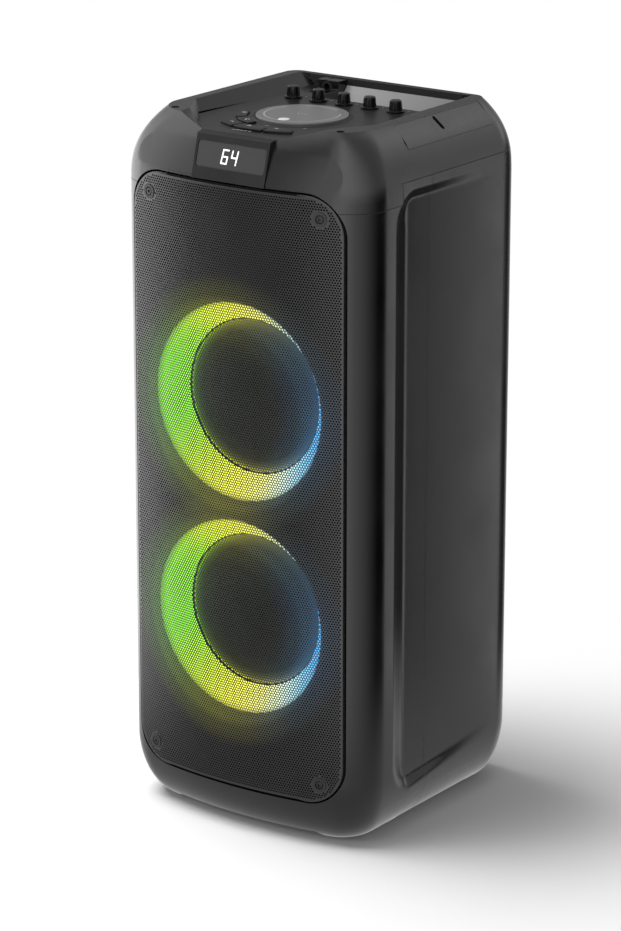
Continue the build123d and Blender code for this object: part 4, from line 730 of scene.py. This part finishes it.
grip_low = span("grip_strip")[0]
SCOOP_X = (-42.0, 78.0)
SCOOP_TOP = (grip_low[1] - 0.2, grip_low[2] - 0.1)
SCOOP_HEEL = (SCOOP_TOP[0] - 25.0, SCOOP_TOP[1] - 29.6)
slope_x = np.linspace(SCOOP_X[0] + 0.5, SCOOP_X[1] - 0.5, 25)[None, :]
slope_share = np.linspace(0.02, 0.98, 9)[:, None]
slope_y = SCOOP_HEEL[0] + (SCOOP_TOP[0] - SCOOP_HEEL[0]) * slope_share - 0.3 + 0 * slope_x
slope_z = SCOOP_HEEL[1] + (SCOOP_TOP[1] - SCOOP_HEEL[1]) * slope_share + 0.1 + 0 * slope_x
slope_points = np.stack((slope_x + 0 * slope_y, slope_y, slope_z), -1).reshape(-1, 3)
# a sheet just above the scoop's back slope that carries the painted reflection
piece("scoop_slope_painted_reflection", slope_points, grid_faces(9, 25), make_slope_with_painted_reflection())

# %% [markdown]
# ## The perforated grille
# The sheet is punched on a triangular lattice. Every hole owns the six-sided cell round it, so
# the sheet is a ring of faces per cell, between the cell's corners and the hole's corners, and
# a wall of faces that leads through the sheet. Cells on the outline are left unpunched, and
# their corners are pulled in to it. The pattern is laid out flat and then bent round the bow.
# %% Steel with the rings' light painted on it
# level of the painted light that spills on the steel, by its distance from a woofer's axis
SPILL_LEVELS = [(0, 0.0), (52, 0.0), (68, 0.05), (80, 0.16), (92, 0.16), (102, 0.07), (122, 0.0)]
SPILL_REACH = 150.0


def make_lit_grille():
    """Powder coat with painted light: a soft glow in the ring's hue, as if its hole edges caught the light of
    the ring right behind them.
    """
    material = moulded("powder_coat_lit", grey(0.008), grey(0.012), 0.3, grain=0.0002, ior=1.5)
    tree, shader = material.node_tree, material.node_tree.nodes["Principled BSDF"]
    place = add(tree, "TexCoord").outputs["Object"]
    glows = []
    for height in woofers.values():
        ring = add(tree, "Group", node_tree=ring_group)
        tree.links.new(place, ring.inputs["Point"])
        ring.inputs["Height"].default_value = height * MM
        from_axis = add(tree, "VectorMath", {0: place, 1: (0, 0, -height * MM)}, operation="ADD")
        across = add(tree, "VectorMath", {0: from_axis.outputs[0], 1: (1, 0, 1)}, operation="MULTIPLY")
        radius = add(tree, "VectorMath", {0: across.outputs[0]}, operation="LENGTH")
        share = add(tree, "Math", {0: radius.outputs["Value"], 1: SPILL_REACH * MM}, operation="DIVIDE")
        spill = add(tree, "ValToRGB", {"Fac": share.outputs[0]})
        set_ramp(spill, [(r / SPILL_REACH, grey(level)) for r, level in SPILL_LEVELS], "EASE")
        glow = add(tree, "VectorMath", {0: ring.outputs["Hue"], "Scale": spill.outputs["Color"]},
                   operation="SCALE")
        glows.append(glow.outputs[0])
    both = add(tree, "VectorMath", {0: glows[0], 1: glows[1]}, operation="ADD")
    tree.links.new(both.outputs[0], shader.inputs["Emission Color"])
    shader.inputs["Emission Strength"].default_value = 1.0
    return material


lit_grille_finish = make_lit_grille()

# %% Perforated sheet
HOLE_PITCH = 2.6
HOLE_RADIUS = 1.0
SHEET = 0.5
GRILLE_CORNER = 36.2
grille_low, grille_high = span("grille")
BOW_RADIUS = 450.0
bow_centre_y = grille_low[1] + BOW_RADIUS
washers_low, washers_high = span("grille_washers")


def bend(across, up, depth):
    """Points of the flat sheet, carried round the bow at a depth behind its face."""
    angle = across / BOW_RADIUS
    radius = BOW_RADIUS - depth
    return np.stack((radius * np.sin(angle), bow_centre_y - radius * np.cos(angle),
                     np.broadcast_to(up, np.shape(angle))), -1)


half_sheet = BOW_RADIUS * np.arcsin(grille_high[0] / BOW_RADIUS)
middle_z = (grille_low[2] + grille_high[2]) / 2
half_tall = (grille_high[2] - grille_low[2]) / 2


def inside_sheet(across, up, inset=0.0):
    """Distance from points to the rounded outline, positive inside it."""
    corner = GRILLE_CORNER - inset
    dx = np.abs(across) - (half_sheet - inset - corner)
    dz = np.abs(up - middle_z) - (half_tall - inset - corner)
    outside = np.hypot(np.maximum(dx, 0), np.maximum(dz, 0))
    return corner - outside - np.minimum(np.maximum(dx, dz), 0)


def pull_in(across, up, inset=0.0):
    """Moves points that lie outside the rounded outline onto it."""
    corner = GRILLE_CORNER - inset
    cx, cz = half_sheet - inset - corner, half_tall - inset - corner
    nearest_x = np.clip(across, -cx, cx)
    nearest_z = np.clip(up - middle_z, -cz, cz)
    dx, dz = across - nearest_x, up - middle_z - nearest_z
    length = np.maximum(np.hypot(dx, dz), 1e-9)
    scale = np.minimum(1.0, corner / length)
    return nearest_x + dx * scale, nearest_z + dz * scale + middle_z


RIM = 1.2
row_pitch = HOLE_PITCH * np.sqrt(3) / 2
rows = np.arange(-int(half_tall / row_pitch) - 1, int(half_tall / row_pitch) + 2)
columns = np.arange(-int(half_sheet / HOLE_PITCH) - 1, int(half_sheet / HOLE_PITCH) + 2)
cell_row, cell_column = [a.ravel() for a in np.meshgrid(rows, columns, indexing="ij")]
cell_x = (cell_column + 0.5 * (cell_row % 2)) * HOLE_PITCH
cell_z = middle_z + cell_row * row_pitch
cell_reach = HOLE_PITCH / np.sqrt(3)
spoke = np.radians(30 + 60 * np.arange(6))
spokes = np.stack((np.cos(spoke), np.sin(spoke)), -1)
depth_inside = inside_sheet(cell_x, cell_z, RIM)
kept = depth_inside > -cell_reach
cell_x, cell_z, depth_inside = cell_x[kept], cell_z[kept], depth_inside[kept]
punched = depth_inside > HOLE_RADIUS + 0.6
print("cells:", len(cell_x), "holes:", int(punched.sum()))

# radius of the washers under the grille screws, and how far to the side these sit
WASHER_RADIUS, SCREW_X = 6.7, 92.9


def screw_centres():
    """Places of the four grille screws on the flat sheet, from the corners of their washers."""
    flat = BOW_RADIUS * np.arcsin(SCREW_X / BOW_RADIUS)
    return [(side * flat, z) for side in (-1, 1)
            for z in (washers_low[2] + WASHER_RADIUS, washers_high[2] - WASHER_RADIUS)]


near_screw = np.zeros(len(cell_x), bool)
under_washer = np.zeros(len(cell_x), bool)
for sx, sz in screw_centres():
    away = np.hypot(cell_x - sx, cell_z - sz)
    near_screw |= away < WASHER_RADIUS + 0.7 + HOLE_RADIUS
    under_washer |= away < WASHER_RADIUS - 1.5
punched &= ~near_screw
keep = ~under_washer
cell_x, cell_z, punched = cell_x[keep], cell_z[keep], punched[keep]


def perforated(name, chosen):
    """One stretch of the sheet: rings round the holes, walls through them, plain cells elsewhere."""
    x, z, open_cell = cell_x[chosen], cell_z[chosen], punched[chosen]
    outer_x = x[:, None] + cell_reach * spokes[None, :, 0]
    outer_z = z[:, None] + cell_reach * spokes[None, :, 1]
    outer_x, outer_z = pull_in(outer_x, outer_z, RIM)
    key = np.round(np.stack((outer_x, outer_z), -1).reshape(-1, 2), 3)
    corners, corner_id = np.unique(key, axis=0, return_inverse=True)
    corner_id = corner_id.reshape(-1, 6)
    hx = x[open_cell][:, None] + HOLE_RADIUS * spokes[None, :, 0]
    hz = z[open_cell][:, None] + HOLE_RADIUS * spokes[None, :, 1]
    front = bend(corners[:, 0], corners[:, 1], 0.0)
    hole_front = bend(hx, hz, 0.0).reshape(-1, 3)
    hole_back = bend(hx, hz, SHEET).reshape(-1, 3)
    first_front, first_back = len(front), len(front) + len(hole_front)
    ids = np.arange(len(hole_front)).reshape(-1, 6)
    following = np.roll(ids, -1, axis=1)
    cell_corner, cell_next = corner_id[open_cell], np.roll(corner_id[open_cell], -1, axis=1)
    ring = np.stack((cell_corner, cell_next, following + first_front, ids + first_front), -1)
    wall = np.stack((ids + first_front, following + first_front, following + first_back, ids + first_back),
                    -1)
    plain = corner_id[~open_cell]
    halves = np.concatenate((plain[:, [0, 1, 2, 3]], plain[:, [0, 3, 4, 5]]))
    faces = np.concatenate((ring.reshape(-1, 4), wall.reshape(-1, 4), halves))
    repeated = (faces[:, 0] == faces[:, 1]).astype(int) + (faces[:, 1] == faces[:, 2])
    repeated += (faces[:, 2] == faces[:, 3]).astype(int) + (faces[:, 3] == faces[:, 0])
    faces = faces[repeated == 0]
    points = np.concatenate((front, hole_front, hole_back))
    made = piece(name, points, faces, lit_grille_finish, crease=30.0)
    print(name, "triangles:", 2 * len(faces))
    return made


bands = np.quantile(cell_z, [0.0, 1 / 3, 2 / 3, 1.0])
bands[0] -= 1
for i, label in enumerate(("lower", "middle", "upper")):
    band = (cell_z > bands[i]) & (cell_z <= bands[i + 1])
    sheet = perforated(f"grille_sheet_{label}", band)
    if label == "middle":
        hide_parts("grille")

# %% [markdown]
# The edge of the sheet is folded back all round, with a small radius, so that it stiffens the
# sheet and hides its cut edge.
# %% Folded rim of the grille
def outline_loop(inset, count=60):
    """Closed loop of (across, up) points along the rounded outline, drawn in by inset."""
    corner = GRILLE_CORNER - inset
    cx, cz = half_sheet - inset - corner, half_tall - inset - corner
    turn = np.linspace(0, np.pi / 2, count)
    across, up = [], []
    for quarter, (sx, sz) in enumerate(((1, 1), (-1, 1), (-1, -1), (1, -1))):
        angle = turn + quarter * np.pi / 2
        across.append(sx * cx + corner * np.cos(angle))
        up.append(middle_z + sz * cz + corner * np.sin(angle))
    return np.concatenate(across), np.concatenate(up)


def folded_rim():
    """The outline carried along a quarter round and then straight back."""
    fold = np.linspace(0, np.pi / 2, 6)
    insets = np.concatenate(([RIM + 0.02], RIM - RIM * np.sin(fold), [0.0]))
    depths = np.concatenate(([0.0], RIM - RIM * np.cos(fold), [5.0]))
    loops = []
    for inset, depth in zip(insets, depths):
        across, up = outline_loop(inset)
        loops.append(bend(across, up, depth))
    points = np.stack(loops)
    return points.reshape(-1, 3), grid_faces(len(loops), points.shape[1], close_columns=True)


rim_points, rim_faces = folded_rim()
piece("grille_rim", rim_points, rim_faces, grille_finish, crease=60.0)

# %% [markdown]
# ## Camera
# A long lens from the right and above keeps the cabinet's uprights almost parallel.
# %% Camera
camera_data = bpy.data.cameras.new("camera")
camera_data.lens = 140.86
camera = bpy.data.objects.new("camera", camera_data)
camera.location = (1.8672, -2.5891, 1.3030)
camera.rotation_euler = Euler((radians(90 - 17.237), 0.0, radians(35.93)))
bpy.context.scene.collection.objects.link(camera)
bpy.context.scene.camera = camera

# %% [markdown]
# ## Studio
# Satin black shows little but what it reflects, so the studio's walls are laid out by direction:
# bright at the left, dark beside the camera, bright again beyond the right side. A large soft
# lamp from the front left and a softer one from above light the object evenly, and one more
# lights the floor alone and gives the soft shadow. The camera sees plain white.
# %% World, lamps and floor
def make_studio_group():
    """What a reflection sees in a direction: the studio's walls, with their own levels below the
    horizon and above it."""
    group, given, out = new_group("studio_walls", [("Direction", "Vector", None)], [("Level", "Float")])
    parts = add(group, "SeparateXYZ", {0: given.outputs["Direction"]})
    flat = add(group, "CombineXYZ", {"X": parts.outputs["X"], "Y": parts.outputs["Y"]})
    angle = add(group, "TexGradient", {"Vector": flat.outputs[0]}, gradient_type="RADIAL")
    walls = []
    for levels in (LOW_WALLS, HIGH_WALLS):
        ramp = add(group, "ValToRGB", {"Fac": angle.outputs["Fac"]})
        set_ramp(ramp, turn_stops([(degrees % 360, grey(level)) for degrees, level in levels]))
        walls.append(add(group, "RGBToBW", {0: ramp.outputs["Color"]}).outputs[0])
    height = add(group, "MapRange", {"Value": parts.outputs["Z"], "From Min": -0.08, "From Max": 0.15},
                 interpolation_type="SMOOTHSTEP")
    level = add(group, "Mix", {"Factor": height.outputs[0], "A": walls[0], "B": walls[1]})
    group.links.new(level.outputs["Result"], out.inputs["Level"])
    return group


# (direction in degrees, level) round the studio, below the horizon and above it
LOW_WALLS = [(200, 5.0), (206, 4.6), (211, 1.8), (216, 1.3), (221, 1.0), (230, 0.75), (241, 0.5),
             (250, 0.5), (256, 0.9), (262, 2.4), (270, 2.4), (290, 2.3), (306, 1.8), (318, 1.38),
             (336, 1.05), (354, 0.6), (6, 0.3), (18, 0.06), (24, 0.0), (43, 0.0), (46, 0.1), (49, 0.35),
             (52, 1.0), (55, 1.8), (58, 1.2), (62, 0.5), (68, 0.1), (84, 0.03), (160, 2.0)]
HIGH_WALLS = [(180, 2.6), (190, 2.6), (206, 2.9), (216, 1.7), (228, 1.5), (234, 0.7), (242, 0.5), (252, 1.1),
              (258, 2.2), (270, 1.6), (278, 2.0), (284, 3.0), (312, 2.7), (330, 2.2), (348, 1.7), (0, 1.3),
              (18, 0.85), (54, 0.85), (64, 1.4), (72, 2.0), (80, 0.8), (102, 0.5), (122, 0.2), (138, 0.45),
              (150, 0.75), (162, 1.5)]
studio_group = make_studio_group()


def make_world(light=0.45):
    """White for the camera, the studio's walls for reflections, and a dim even light otherwise."""
    world = bpy.data.worlds.new("studio")
    bpy.context.scene.world = world
    world.use_nodes = True
    tree = world.node_tree
    path = add(tree, "LightPath")
    seen = add(tree, "Math", {0: path.outputs["Is Camera Ray"], 1: path.outputs["Is Transmission Ray"]},
               operation="MAXIMUM")
    walls = add(tree, "Group", node_tree=studio_group)
    tree.links.new(add(tree, "TexCoord").outputs["Generated"], walls.inputs["Direction"])
    other = add(tree, "Mix", {"Factor": path.outputs["Is Glossy Ray"], "A": light,
                              "B": walls.outputs["Level"]})
    level = add(tree, "Mix", {"Factor": seen.outputs[0], "A": other.outputs["Result"], "B": 1.0})
    background = tree.nodes["Background"]
    background.inputs["Color"].default_value = (1.0, 1.0, 1.0, 1.0)
    tree.links.new(level.outputs["Result"], background.inputs["Strength"])


def softbox(name, place, aim, width, height, power):
    """An area lamp that faces a point."""
    data = bpy.data.lights.new(name, "AREA")
    data.shape = "RECTANGLE"
    data.size, data.size_y = width, height
    data.energy = power
    lamp = bpy.data.objects.new(name, data)
    lamp.location = place
    lamp.visible_glossy = False
    lamp.rotation_euler = (Vector(aim) - Vector(place)).to_track_quat("-Z", "Y").to_euler()
    bpy.context.scene.collection.objects.link(lamp)
    return lamp


# the walls stand for the lamps in every reflection, so the lamps themselves stay out of them
make_world()
softbox("key", (-1.0, -2.3, 1.7), (0, 0, 0.5), 1.5, 1.0, 20)
softbox("top", (0.2, 0.3, 2.6), (0, 0, 0.5), 1.2, 1.2, 8)


def make_floor():
    """A large disc: white far out, a shaded floor with the soft shadow near the object, and there
    an even glow for the light that the object gets back from it."""
    radii = np.array([0.0, 400.0, 900.0, 2000.0, 6000.0, 12000.0])
    points, faces = turned(np.stack((radii + 0.01, np.zeros_like(radii)), -1), 96, axis="z")
    mesh = bpy.data.meshes.new("floor")
    fill_mesh(mesh, points, faces[:, ::-1])
    floor = bpy.data.objects.new("floor", mesh)
    bpy.context.scene.collection.objects.link(floor)
    material = bpy.data.materials.new("white_sweep")
    material.use_nodes = True
    tree = material.node_tree
    tree.nodes.remove(tree.nodes["Principled BSDF"])
    path = add(tree, "LightPath")
    seen = add(tree, "Math", {0: path.outputs["Is Camera Ray"], 1: path.outputs["Is Glossy Ray"]},
               operation="MAXIMUM")
    place = add(tree, "TexCoord").outputs["Object"]
    away = add(tree, "VectorMath", {0: place}, operation="LENGTH")
    share = add(tree, "MapRange", {"Value": away.outputs["Value"], "From Min": 0.2, "From Max": 0.62},
                interpolation_type="SMOOTHSTEP")
    far = add(tree, "Math", {0: share.outputs[0], 1: seen.outputs[0]}, operation="MULTIPLY")
    lit = add(tree, "BsdfDiffuse", {"Color": (0.42, 0.42, 0.42, 1)})
    lift = add(tree, "Emission", {"Color": (1, 1, 1, 1), "Strength": 0.04})
    shown = add(tree, "AddShader", {0: lit.outputs[0], 1: lift.outputs[0]})
    bounce = add(tree, "Emission", {"Color": (1, 1, 1, 1), "Strength": 0.8})
    near = add(tree, "MixShader", {0: path.outputs["Is Camera Ray"], 1: bounce.outputs[0],
                                   2: shown.outputs[0]})
    white = add(tree, "Emission", {"Color": (1, 1, 1, 1), "Strength": 1.0})
    open_to_walls = add(tree, "BsdfTransparent")
    distant = add(tree, "MixShader", {0: path.outputs["Is Glossy Ray"], 1: white.outputs[0],
                                      2: open_to_walls.outputs[0]})
    mixed = add(tree, "MixShader", {0: far.outputs[0], 1: near.outputs[0], 2: distant.outputs[0]})
    tree.links.new(mixed.outputs[0], tree.nodes["Material Output"].inputs["Surface"])
    mesh.materials.append(material)
    return floor


floor = make_floor()
floor_lamp = softbox("floor_light", (-1.2, -0.5, 2.9), (0, 0, 0), 1.9, 1.9, 230)
lit_by_floor_lamp = bpy.data.collections.new("floor_only")
lit_by_floor_lamp.objects.link(floor)
floor_lamp.light_linking.receiver_collection = lit_by_floor_lamp
bpy.context.scene.view_settings.view_transform = "Standard"
